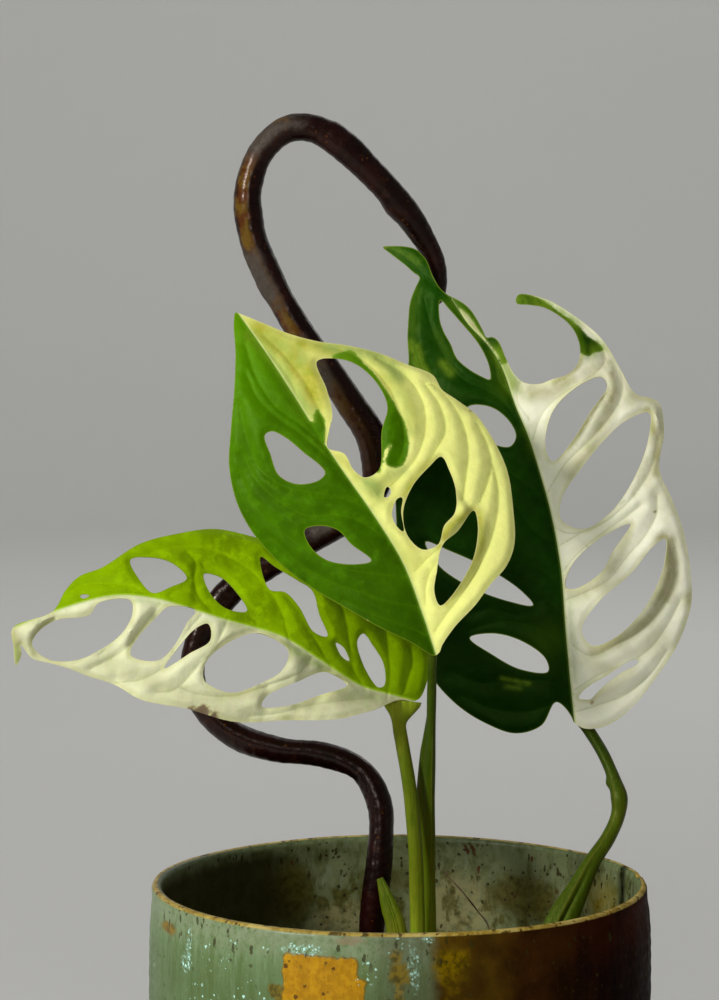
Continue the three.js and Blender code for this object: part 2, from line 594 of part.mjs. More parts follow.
const plant = new THREE.Group();
addPiece(plant, "pot", toGeometry(potSolid()), "#6f7f6b", 0.35);
addPiece(plant, "soil", toGeometry(soilSolid()), "#3a2a1e", 0.95);
addPiece(plant, "stems", toGeometry(stemsSolid(0)), "#6c8a2b", 0.5);
for (const [name, leaf] of Object.entries(LEAVES)) {
  addPiece(plant, name, leafGeometry(leaf), leaf.colour, 0.45);
}
addPiece(plant, "support_loop", toGeometry(supportSolid(0)), "#3b1f14", 0.2);
addPiece(plant, "dry_fibre", toGeometry(fibreSolid(0)), "#8a6b3f", 0.9);

export default plant;
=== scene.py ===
"""A variegated Monstera adansonii in a glazed pot, with a bent strand of glazed clay behind its leaves.

Lengths inside the functions are millimetres until a mesh is made. X points right, Y to the back and Z up.
"""

import math
from collections import namedtuple

import bmesh
import bpy
import numpy as np
from bpy.props import FloatProperty, FloatVectorProperty, IntProperty, PointerProperty
from bpy.types import Operator, Panel, PropertyGroup
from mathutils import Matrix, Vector
from mathutils.geometry import delaunay_2d_cdt


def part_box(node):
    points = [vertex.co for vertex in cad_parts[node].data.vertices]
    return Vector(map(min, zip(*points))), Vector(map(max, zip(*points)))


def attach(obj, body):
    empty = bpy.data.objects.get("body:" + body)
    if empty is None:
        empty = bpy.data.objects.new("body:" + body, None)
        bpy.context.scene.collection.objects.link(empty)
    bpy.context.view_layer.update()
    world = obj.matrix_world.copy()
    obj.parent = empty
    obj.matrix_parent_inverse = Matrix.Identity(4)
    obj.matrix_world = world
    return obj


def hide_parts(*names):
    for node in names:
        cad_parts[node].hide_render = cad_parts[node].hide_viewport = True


bl_info = {
    "name": "Potted monstera",
    "version": (1, 0, 0),
    "blender": (4, 5, 0),
    "location": "View3D > Sidebar > Monstera",
    "description": "Builds a potted monstera with holed leaves, its glazed pot and a clay support",
    "category": "Object",
}

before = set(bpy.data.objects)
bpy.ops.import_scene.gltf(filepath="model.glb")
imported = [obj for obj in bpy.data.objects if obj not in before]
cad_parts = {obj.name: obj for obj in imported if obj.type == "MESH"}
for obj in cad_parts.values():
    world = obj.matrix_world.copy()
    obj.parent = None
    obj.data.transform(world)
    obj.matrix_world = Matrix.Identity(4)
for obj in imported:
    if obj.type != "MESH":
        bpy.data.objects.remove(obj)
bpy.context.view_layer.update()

MM = 0.001
CHUNK = 2_000_000  # numbers that one step of a nearest search may hold at once
BODY = "root"

POT_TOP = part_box("pot")[1][2] / MM
SOIL_TOP = 100.0
CREASE = 1.5  # half width over which a blade bends at its midrib


def tint(red, green, blue):
    """A linear colour from screen values of 0 to 255: ((v + 0.055) / 1.055) ** 2.4 for v over 0.04."""
    share = np.array([red, green, blue]) / 255
    curve = np.where(share > 0.04045, ((share + 0.055) / 1.055) ** 2.4, share / 12.92)
    return tuple(float(v) for v in curve)


# Curves


def spline(points, closed=False, per=16):
    """Centripetal Catmull-Rom curve through the points, per steps between two of them.

    Each point p lies at a knot t, and the next knot is t + sqrt(distance). Straight blends between
    neighbouring points are blended twice more, each time in proportion to the place among the knots.
    """
    points = np.asarray(points, float)
    if closed:
        whole = np.vstack([points[-1:], points, points[:2]])
    else:
        whole = np.vstack([2 * points[0] - points[1], points, 2 * points[-1] - points[-2]])
    p0, p1, p2, p3 = whole[:-3], whole[1:-2], whole[2:-1], whole[3:]

    def knot(start, end):
        return np.maximum(np.linalg.norm(end - start, axis=1), 1e-8)[:, None, None] ** 0.5

    t1 = knot(p0, p1)
    t2 = t1 + knot(p1, p2)
    t3 = t2 + knot(p2, p3)
    t = t1 + (t2 - t1) * (np.arange(per) / per)[None, :, None]
    p0, p1, p2, p3 = (p[:, None] for p in (p0, p1, p2, p3))
    a1 = (t1 - t) / t1 * p0 + t / t1 * p1
    a2 = (t2 - t) / (t2 - t1) * p1 + (t - t1) / (t2 - t1) * p2
    a3 = (t3 - t) / (t3 - t2) * p2 + (t - t2) / (t3 - t2) * p3
    b1 = (t2 - t) / t2 * a1 + t / t2 * a2
    b2 = (t3 - t) / (t3 - t1) * a2 + (t - t1) / (t3 - t1) * a3
    curve = ((t2 - t) / (t2 - t1) * b1 + (t - t1) / (t2 - t1) * b2).reshape(-1, points.shape[1])
    return curve if closed else np.vstack([curve, points[-1:]])


def evenly(points, step=None, count=None, closed=False):
    """The same line with its points at even lengths, by a step or by a count of steps."""
    line = np.vstack([points, points[:1]]) if closed else points
    run = np.concatenate([[0], np.cumsum(np.linalg.norm(np.diff(line, axis=0), axis=1))])
    count = count or max(4, round(run[-1] / step))
    places = np.linspace(0, run[-1], count + 1)
    if closed:
        places = places[:-1]
    return np.stack([np.interp(places, run, column) for column in line.T], axis=1)


def between(values, share):
    """A value read from evenly spaced ones, for a share from 0 to 1."""
    return np.interp(share, np.linspace(0, 1, len(values)), values)


def soft_step(value, low, high):
    """0 below low, 1 above high and 3 x² - 2 x³ between them."""
    x = np.clip((value - low) / (high - low), 0, 1)
    return x * x * (3 - 2 * x)


def bell(value, width):
    """exp(-(value / width)²), a hump that is 1 at 0."""
    return np.exp(-((value / width) ** 2))


def circle(count):
    """Evenly spaced angles round a full turn."""
    return 2 * math.pi * np.arange(count) / count


def turned_points(radius, height, turn):
    """Points (r cos w, r sin w, z), row after row."""
    height = height + 0 * turn
    return np.stack([radius * np.cos(turn), radius * np.sin(turn), height], -1).reshape(-1, 3)


Near = namedtuple("Near", "side height share")


def beside(points, line, beyond=False):
    """The nearest place of a line to each flat point.

    side is the distance, positive on the left of the line. share says how far along it lies, from 0 to 1,
    and height is the line's third number there. With beyond, both ends run on straight.
    """
    start, step = line[:-1, :2], np.diff(line[:, :2], axis=0)
    square = (step**2).sum(1)
    run = np.concatenate([[0], np.cumsum(np.sqrt(square))])
    low, high = np.zeros(len(step)), np.ones(len(step))
    if beyond:
        low[0], high[-1] = -np.inf, np.inf
    heights = line[:, 2] if line.shape[1] > 2 else np.zeros(len(line))
    found = []
    for some in np.array_split(points, 1 + len(points) * len(step) // CHUNK):
        offset = some[:, None] - start
        share = np.clip((offset * step).sum(2) / square, low, high)
        gap = ((offset - share[..., None] * step) ** 2).sum(2)
        best = gap.argmin(1)
        row = np.arange(len(some))
        share, gap, offset, ahead = share[row, best], gap[row, best], offset[row, best], step[best]
        left = np.where(ahead[:, 0] * offset[:, 1] - ahead[:, 1] * offset[:, 0] > 0, 1.0, -1.0)
        length = run[best] + share * np.sqrt(square[best])
        height = heights[best] + share * (heights[best + 1] - heights[best])
        found.append(np.stack([left * np.sqrt(gap), height, length / run[-1]]))
    return Near(*np.concatenate(found, axis=1))


def loop_distance(points, loop):
    """How far each flat point lies from a closed loop."""
    return abs(beside(points, np.vstack([loop, loop[:1]])).side)


def inside(points, loops):
    """Whether each flat point lies inside an odd number of the loops, by counting crossings to its right."""
    start = np.vstack(loops)
    end = np.vstack([np.roll(loop, -1, axis=0) for loop in loops])
    found = []
    for some in np.array_split(points, 1 + len(points) * len(start) // CHUNK):
        x, y = some[:, None, 0], some[:, None, 1]
        spans = (start[:, 1] > y) != (end[:, 1] > y)
        rise = np.where(end[:, 1] == start[:, 1], 1, end[:, 1] - start[:, 1])
        cross = start[:, 0] + (end[:, 0] - start[:, 0]) * (y - start[:, 1]) / rise
        found.append((spans & (x < cross)).sum(1) % 2 == 1)
    return np.concatenate(found)


# Meshes


def fill(loops, inner):
    """Points and triangles between closed flat loops, as a Delaunay net that keeps every step of a loop.

    A triangle stays where its middle lies inside an odd number of loops.
    """
    firsts = np.cumsum([0] + [len(loop) for loop in loops])
    steps = [
        (int(first) + i, int(first) + (i + 1) % len(loop))
        for first, loop in zip(firsts, loops)
        for i in range(len(loop))
    ]
    flat = np.vstack([*loops, inner])
    points, _, faces, *_ = delaunay_2d_cdt(flat.tolist(), steps, [], 0, 1e-6, False)
    points = np.array([tuple(p) for p in points])
    faces = np.array(faces)
    corners = points[faces]
    middle = corners.mean(1)
    one, two = corners[:, 1] - corners[:, 0], corners[:, 2] - corners[:, 0]
    area = one[:, 0] * two[:, 1] - one[:, 1] * two[:, 0]
    faces = np.where((area < 0)[:, None], faces[:, ::-1], faces)
    return points, faces[inside(middle, loops) & (abs(area) > 1e-6)]


def outer_steps(faces):
    """The directed sides of the faces that no other face shares."""
    sides = np.concatenate([np.stack([faces[:, i], faces[:, (i + 1) % 3]], 1) for i in range(3)])
    size = sides.max() + 1
    forth, back = sides[:, 0] * size + sides[:, 1], sides[:, 1] * size + sides[:, 0]
    return sides[~np.isin(forth, back)]


def point_normals(points, faces):
    """Unit normals of points, as the sum of the cross products of their triangles."""
    corners = points[faces]
    cross = np.cross(corners[:, 1] - corners[:, 0], corners[:, 2] - corners[:, 0])
    total = np.stack(
        [
            sum(np.bincount(faces[:, i], cross[:, axis], len(points)) for i in range(3))
            for axis in range(3)
        ],
        axis=1,
    )
    return total / np.maximum(np.linalg.norm(total, axis=1), 1e-12)[:, None]


def grid_faces(rows, columns, turned=False):
    """Four-sided faces of a grid of points whose columns close into a ring, row after row."""
    row, column = np.meshgrid(np.arange(rows - 1), np.arange(columns), indexing="ij")
    here, there = row * columns + column, row * columns + (column + 1) % columns
    faces = np.stack([here, there, there + columns, here + columns], -1).reshape(-1, 4)
    return faces[:, ::-1] if turned else faces


def fan_faces(middle, first, columns, turned=False):
    """Triangles from one point to a ring of points whose numbers start at first."""
    side = np.arange(columns)
    after = (side + 1) % columns
    ring = (after, side) if turned else (side, after)
    return np.stack([np.full(columns, middle), *(first + one for one in ring)], 1)


def make_piece(name, points, faces, paint, replaced=(), fields=None, sharp=50, weld=False):
    """A mesh object at the origin, from points in millimetres, lists of faces and named numbers per point."""
    mesh = bpy.data.meshes.new(name)
    rows = [row for some in faces for row in some.tolist()]
    mesh.from_pydata((points * MM).tolist(), [], rows)
    for label, values in (fields or {}).items():
        flat = np.ascontiguousarray(values, np.float32)
        kind, key = ("FLOAT_VECTOR", "vector") if flat.ndim > 1 else ("FLOAT", "value")
        mesh.attributes.new(label, kind, "POINT").data.foreach_set(key, flat.ravel())
    if weld:
        net = bmesh.new()
        net.from_mesh(mesh)
        bmesh.ops.remove_doubles(net, verts=net.verts, dist=0.01 * MM)
        net.to_mesh(mesh)
        net.free()
    mesh.shade_smooth()
    mesh.set_sharp_from_angle(angle=math.radians(sharp))
    mesh.materials.append(paint)
    mesh.validate()
    piece = bpy.data.objects.new(name, mesh)
    bpy.context.scene.collection.objects.link(piece)
    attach(piece, BODY)
    if replaced:
        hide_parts(*replaced)
    return piece


def sweep(route, radius_at, girth, rings, sides, first=0):
    """A closed stalk along a curve: centre(s) + girth · r(s, w) (cos w · right + sin w · back).

    right is the Y axis crossed with the curve's direction and back is square to both, so w runs from the
    right over the back to the left and the front. first is added to the numbers of the faces' corners.
    """
    path = evenly(spline(route, per=24), count=rings)
    ahead = np.gradient(path, axis=0)
    ahead /= np.linalg.norm(ahead, axis=1)[:, None]
    right = np.cross([0.0, 1.0, 0.0], ahead)
    right /= np.linalg.norm(right, axis=1)[:, None]
    back = np.cross(ahead, right)
    share = np.linspace(0, 1, rings + 1)[:, None]
    turn = circle(sides)[None, :]
    radius = np.broadcast_to(girth * radius_at(share, turn), (rings + 1, sides))
    to_right = (np.cos(turn) * radius)[..., None] * right[:, None]
    to_back = (np.sin(turn) * radius)[..., None] * back[:, None]
    points = (path[:, None] + (to_right + to_back)).reshape(-1, 3)
    count = len(points)
    points = np.vstack([points, path[:1], path[-1:]])
    caps = [fan_faces(count, 0, sides, turned=True), fan_faces(count + 1, rings * sides, sides)]
    shares = np.concatenate([np.repeat(share[:, 0], sides), [0, 1]])
    turns = np.concatenate([np.tile(turn[0], rings + 1), [0, 0]])
    faces = [some + first for some in (grid_faces(rings + 1, sides), *caps)]
    return points, faces, shares, turns


def towards(turn, direction, width):
    """A bell of the angle between turn and direction."""
    return bell(np.arctan2(np.sin(turn - direction), np.cos(turn - direction)), width)


def ellipse(across, deep, turn):
    """Radius of an ellipse at an angle, from its half widths."""
    return 1 / np.hypot(np.cos(turn) / across, np.sin(turn) / deep)


def round_ends(share, length, radius):
    """sqrt(1 - u²) near both ends, where u goes from 0 at one radius inside to 1 at the end."""
    inset = np.clip(1 - np.minimum(share, 1 - share) * length / radius, 0, 1)
    return np.maximum(0.12, np.sqrt(1 - inset**2))


# Materials


class Paint:
    """One material whose nodes are written as calls. Each call returns the output that the next one takes."""

    def __init__(self, name, place=None, unit=1 / MM):
        self.material = bpy.data.materials.new(name)
        self.material.use_nodes = True
        self.tree = self.material.node_tree
        self.shader = next(n for n in self.tree.nodes if n.type == "BSDF_PRINCIPLED")
        self.unit = unit
        self.place = self.field(place, "Vector") if place else self.add("TexCoord").outputs["Object"]

    def add(self, kind, inputs=None, **settings):
        node = self.tree.nodes.new("ShaderNode" + kind)
        for key, value in settings.items():
            setattr(node, key, value)
        for key, value in (inputs or {}).items():
            self.feed(node.inputs[key], value)
        return node

    def feed(self, socket, value):
        if isinstance(value, bpy.types.NodeSocket):
            self.tree.links.new(value, socket)
        elif socket.type == "RGBA" and len(value) == 3:
            socket.default_value = (*value, 1)
        else:
            socket.default_value = value

    def field(self, name, output="Fac"):
        return self.add("Attribute", attribute_name=name).outputs[output]

    def math(self, operation, one, two=0.0):
        return self.add("Math", {0: one, 1: two}, operation=operation).outputs[0]

    def chain(self, operation, *values):
        total = values[0]
        for value in values[1:]:
            total = self.math(operation, total, value)
        return total

    def times(self, *values):
        return self.chain("MULTIPLY", *values)

    def plus(self, *values):
        return self.chain("ADD", *values)

    def minus(self, *values):
        return self.chain("SUBTRACT", *values)

    def largest(self, *values):
        return self.chain("MAXIMUM", *values)

    def size(self, value):
        return self.math("ABSOLUTE", value)

    def swing(self, noise, reach):
        """Noise from 0 to 1 as a number from minus half of reach to half of it."""
        return self.times(self.minus(noise, 0.5), reach)

    def vector(self, operation, *inputs):
        return self.add("VectorMath", dict(enumerate(inputs)), operation=operation)

    def blend(self, share, one, two, strength=None):
        """The first colour, with as much of the second as share says, times strength."""
        share = share if strength is None else self.times(share, strength)
        return self.add("Mix", {"Factor": share, 6: one, 7: two}, data_type="RGBA").outputs[2]

    def layers(self, colour, *rows):
        """A colour with others over it, from rows of share, colour and strength."""
        for share, over, *strength in rows:
            colour = self.blend(share, colour, over, *strength)
        return colour

    def step(self, value, low, high):
        """0 at low, 1 at high and a soft step between them; low may be the larger one."""
        inputs = {"Value": value, "From Min": low, "From Max": high}
        return self.add("MapRange", inputs, interpolation_type="SMOOTHSTEP").outputs[0]

    def stretched(self, x, y, z):
        return self.add("Mapping", {"Vector": self.place, "Scale": (x, y, z)}).outputs[0]

    def noise(self, size, detail=2.0, roughness=0.5, place=None, warp=0.0):
        """Cloudy noise from 0 to 1 with lumps of about size millimetres."""
        inputs = {"Vector": place or self.place, "Scale": self.unit / size, "Detail": detail}
        inputs |= {"Roughness": roughness, "Distortion": warp}
        return self.add("TexNoise", inputs).outputs["Fac"]

    def torn_place(self, size, reach):
        """The place, pushed about by up to half of reach in each direction."""
        inputs = {"Vector": self.place, "Scale": self.unit / size, "Detail": 2.0}
        colour = self.add("TexNoise", inputs).outputs["Color"]
        centred = self.vector("SUBTRACT", colour, (0.5, 0.5, 0.5)).outputs[0]
        push = self.add("VectorMath", {0: centred, "Scale": reach}, operation="SCALE").outputs[0]
        return self.vector("ADD", self.place, push).outputs[0]

    def cells(self, size, feature="F1", place=None, output="Distance"):
        """Cells of about size millimetres: the distance to a cell's point, its edge, or its random colour."""
        inputs = {"Vector": place or self.place, "Scale": self.unit / size}
        return self.add("TexVoronoi", inputs, feature=feature).outputs[output]

    def specks(self, size, reach, place=None, share=0.5):
        """1 on round specks up to reach of a cell wide, in about a share of cells of a size."""
        apart = self.cells(size, place=place)
        chance = self.add("SeparateColor", {0: self.cells(size, place=place, output="Color")}).outputs[0]
        limit = self.times(self.minus(chance, 1 - share), reach / share)
        return self.step(self.minus(apart, limit), 0.05, -0.02)

    def finish(self, colour, roughness, relief, depth=1.0, **constants):
        """Feeds the shader. relief is in millimetres. Constants are set on the shader's own sockets."""
        self.feed(self.shader.inputs["Base Color"], colour)
        self.feed(self.shader.inputs["Roughness"], roughness)
        bump = self.add("Bump", {"Height": relief, "Strength": depth, "Distance": MM})
        self.feed(self.shader.inputs["Normal"], bump.outputs[0])
        for key, value in constants.items():
            self.shader.inputs[key.replace("_", " ")].default_value = value
        return self.material


# Pot and soil

POT_FOOT = [(50.0, 1.4), (57.0, 1.3), (58.6, 0.3), (60.5, 0.0), (66.5, 0.0), (68.6, 0.3)]
POT_OUTSIDE = [
    (70.0, 1.2), (72.2, 5.0), (75.4, 18.0), (78.2, 38.0), (80.2, 60.0), (81.1, 90.0), (81.3, 115.0),
    (81.0, 128.0), (80.1, 136.0),
]
POT_INSIDE_RADII = (64.8, 73.2, 75.7, 76.8, 77.2)  # of the hollow, at even heights from the table to the rim
POT_FLOOR = 6.0
MIDDLE_RADIUS = 50.0  # of the flat nets under and on the floor
PROFILE_STEP, NET_STEP, NET_CLEAR = 1.35, 6.0, 4.0
LIP_RADIUS = 1.6
LIP_CENTRE = (78.4, POT_TOP - LIP_RADIUS)
DRAIN_HOLES, DRAIN_RADIUS, DRAIN_RING, DRAIN_SIDES = 3, 4.0, 28.0, 28
SOIL_GAP = 0.3
SOIL_BOTTOM = POT_FLOOR + SOIL_GAP
POT_CORNER = 5.0  # how far the soil's foot stays clear of the rounded corner at the pot's floor
CHIP_TURN, CHIP_DEPTH = math.radians(6.2), 1.6  # the chip in the lip
BELLY, HOLLOW = 81.3, 77.0  # radii that lengths round the outside and the inside are measured on


def hollow_radius(height):
    return between(POT_INSIDE_RADII, height / POT_TOP)


def pot_profile():
    """Half the pot's section as (radius, height, course), up the outside and down the inside to the floor.

    course is the length along the section from the top of the lip, negative outside and positive inside.
    """
    turn = np.linspace(-0.1, math.pi + 0.1, 14)
    lip = np.stack([LIP_CENTRE[0] + LIP_RADIUS * np.cos(turn), LIP_CENTRE[1] + LIP_RADIUS * np.sin(turn)], 1)
    heights = np.array([130.0, 115, 100, 85, 70, 55, 40, 28, 18, 11])
    inner = np.stack([hollow_radius(heights), heights], 1)
    floor = hollow_radius(POT_FLOOR)
    corner = np.array([(floor - 2.2, POT_FLOOR + 1.1), (floor - 6.0, POT_FLOOR), (MIDDLE_RADIUS, POT_FLOOR)])
    foot = spline(POT_FOOT + POT_OUTSIDE[:2], per=6)[:-6]
    wall = spline(np.vstack([POT_OUTSIDE, lip[:1]]), per=12)
    inside_wall = spline(np.vstack([lip[-1:], inner, corner]), per=8)
    line = np.vstack([foot, wall, lip[1:-1], inside_wall])
    even = evenly(line, step=PROFILE_STEP)
    run = np.concatenate([[0], np.cumsum(np.linalg.norm(np.diff(even, axis=0), axis=1))])
    return np.column_stack([even, run - run[even[:, 1].argmax()]])


def build_pot(look, paint):
    """The pot as a turned surface: r(c, w) = profile(c) + throwing lines + drips + a slow wobble.

    c runs up the outside, over the lip and down the inside, and w round it. The middles, under and on the
    floor, are flat nets with the drain holes, and short tubes close the holes.
    """
    columns = look.columns
    profile = pot_profile()
    turn = circle(columns)
    radius, height, course = (column[:, None] for column in profile.T)
    wall = soft_step(height, 8, 24) * soft_step(abs(course), 2.0, 9.0)
    lines = 0.07 * np.sin(1.15 * height + 1.6 * np.sin(0.21 * height) + 0.8 * np.sin(turn + 0.05 * height))
    slow = 0.22 * np.sin(2 * turn + 0.03 * height) + 0.16 * np.sin(3 * turn - 0.045 * height + 1.0)
    drips = 0.10 * np.sin(37 * turn + 2.0 * np.sin(5 * turn)) * soft_step(height, 70, 132)
    rim = soft_step(height, 120, 139) * (0.25 * np.sin(2 * turn + 0.7) + 0.12 * np.sin(5 * turn))
    radius = radius + look.relief * (wall * (lines + slow + drips) + rim)
    dent = np.exp(-(((turn - CHIP_TURN) / 0.028) ** 2) - ((course - 0.3) / 1.5) ** 2)
    crest = soft_step(height, 132, POT_TOP) * (0.12 * np.sin(4 * turn + 1.2) - 0.12)
    shell = turned_points(radius, height + crest - CHIP_DEPTH * dent, turn)
    faces = [grid_faces(len(profile), columns)]
    courses = [np.repeat(profile[:, 2], columns)]
    points, count = [shell], len(shell)
    ring = turned_points(DRAIN_RADIUS, 0, circle(DRAIN_SIDES))[:, :2]
    middles = 2 * math.pi * (np.arange(DRAIN_HOLES) + 0.25) / DRAIN_HOLES
    holes = [ring + DRAIN_RING * np.array([math.cos(m), math.sin(m)]) for m in middles]
    places = NET_STEP * np.arange(-8, 9)
    inner = np.stack(np.meshgrid(places, places), -1).reshape(-1, 2)
    clear = np.linalg.norm(inner, axis=1) < MIDDLE_RADIUS - NET_CLEAR
    for hole in holes:
        clear &= np.linalg.norm(inner - hole.mean(0), axis=1) > DRAIN_RADIUS + NET_CLEAR / 2
    for row, level, turned in ((0, profile[0, 1], True), (-1, profile[-1, 1], False)):
        edge = shell.reshape(-1, columns, 3)[row, :, :2]
        flat, net = fill([edge, *holes], inner[clear])
        points.append(np.column_stack([flat, np.full(len(flat), level)]))
        faces.append((net[:, ::-1] if turned else net) + count)
        courses.append(np.full(len(flat), profile[row, 2]))
        count += len(flat)
    for hole in holes:
        tube = [np.column_stack([hole, np.full(len(hole), profile[row, 1])]) for row in (0, -1)]
        points.append(np.vstack(tube))
        faces.append(grid_faces(2, len(hole), turned=True) + count)
        courses.append(np.repeat(profile[[0, -1], 2], len(hole)))
        count += 2 * len(hole)
    fields = {"course": np.concatenate(courses)}
    make_piece("glazed_pot", np.vstack(points), faces, paint, ["pot"], fields, weld=True)


def soil_height(x, y):
    """Slow waves and a small rise towards the wall, added to the soil's level."""
    reach = hollow_radius(SOIL_TOP) - SOIL_GAP
    waves = np.sin(0.31 * x + 1.3) * np.sin(0.27 * y) + np.sin(0.47 * x - 0.39 * y + 2)
    return SOIL_TOP - 1 + 1.1 * waves + 2.5 * (np.hypot(x, y) / reach) ** 4


def build_soil(look, paint):
    """The potting mix: z(x, y) = level + slow waves + fine crumbs, on rings of points that close under it."""
    columns, rings = 200, 64
    turn = circle(columns)
    reach = hollow_radius(SOIL_TOP) - SOIL_GAP
    share = np.linspace(0.012, 1, rings)[:, None]
    x, y = share * reach * np.cos(turn), share * reach * np.sin(turn)
    crumbs = np.sin(1.7 * x + 2 * np.sin(0.9 * y)) * np.sin(1.9 * y + 2 * np.sin(1.1 * x))
    crumbs += 0.6 * np.sin(3.1 * x - 2.3 * y + 3 * np.sin(0.6 * y))
    top = np.stack([x, y, soil_height(x, y) + 0.55 * crumbs * (share < 1)], -1).reshape(-1, 3)
    levels = np.array([88.0, 70, 50, 30, 12, SOIL_BOTTOM])[:, None]
    walls = hollow_radius(levels) - SOIL_GAP - np.where(levels > SOIL_BOTTOM, 0, POT_CORNER)
    middles = [(0, 0, soil_height(0, 0)), (0, 0, SOIL_BOTTOM)]
    points = np.vstack([top, turned_points(walls, levels, turn), middles])
    rows = rings + len(levels)
    count, last = rows * columns, (rows - 1) * columns
    faces = [grid_faces(rows, columns, turned=True), fan_faces(count, 0, columns)]
    faces.append(fan_faces(count + 1, last, columns, turned=True))
    make_piece("soil_bed", points, faces, paint["soil"], ["soil"])
    rng = np.random.default_rng(41)
    for name, amount, size, flat in (
        ("bark_chips", look.chips, (3.0, 8.0), 0.38),
        ("perlite", look.perlite, (1.2, 2.4), 0.85),
    ):
        build_grains(name, rng, amount, size, flat, paint[name])


def build_grains(name, rng, amount, size, flatness, paint):
    """Loose grains: unit pebbles, scaled and turned at random, half sunk where the soil's height puts them.

    A pebble has three rings of six points and two poles, each point moved in or out at random.
    """
    rings, sides = 3, 6
    lean = (math.pi * (np.arange(rings) + 1) / (rings + 1))[:, None]
    pebble = np.vstack([turned_points(np.sin(lean), np.cos(lean), circle(sides)), [(0, 0, 1), (0, 0, -1)]])
    net = [
        grid_faces(rings, sides, turned=True),
        fan_faces(rings * sides, 0, sides),
        fan_faces(rings * sides + 1, (rings - 1) * sides, sides, turned=True),
    ]
    spread = np.sqrt(rng.random(amount)) * (hollow_radius(SOIL_TOP) - 6)
    way = rng.random(amount) * 2 * math.pi
    x, y = spread * np.cos(way), spread * np.sin(way)
    stretch = rng.uniform(*size, (amount, 1, 1)) * np.array([1.0, 0.62, flatness])
    shapes = pebble * (1 + rng.uniform(-0.28, 0.28, (amount, len(pebble), 1))) * stretch
    spin, tip = rng.random(amount) * 2 * math.pi, rng.normal(0, 0.3, amount)
    zero, one = np.zeros(amount), np.ones(amount)
    cos, sin = np.cos(spin), np.sin(spin)
    flat_turn = np.array([[cos, -sin, zero], [sin, cos, zero], [zero, zero, one]])
    cos, sin = np.cos(tip), np.sin(tip)
    tilt = np.array([[one, zero, zero], [zero, cos, -sin], [zero, sin, cos]])
    shapes = np.einsum("ijn,jkn,nvk->nvi", flat_turn, tilt, shapes)
    lift = soil_height(x, y) + 0.35 * stretch[:, 0, 2]
    shapes += np.stack([x, y, lift], -1)[:, None]
    firsts = (len(pebble) * np.arange(amount))[:, None, None]
    faces = [(some + firsts).reshape(-1, some.shape[1]) for some in net]
    tone = np.repeat(rng.random(amount), len(pebble))
    make_piece(name, shapes.reshape(-1, 3), faces, paint, (), {"tone": tone}, sharp=25)


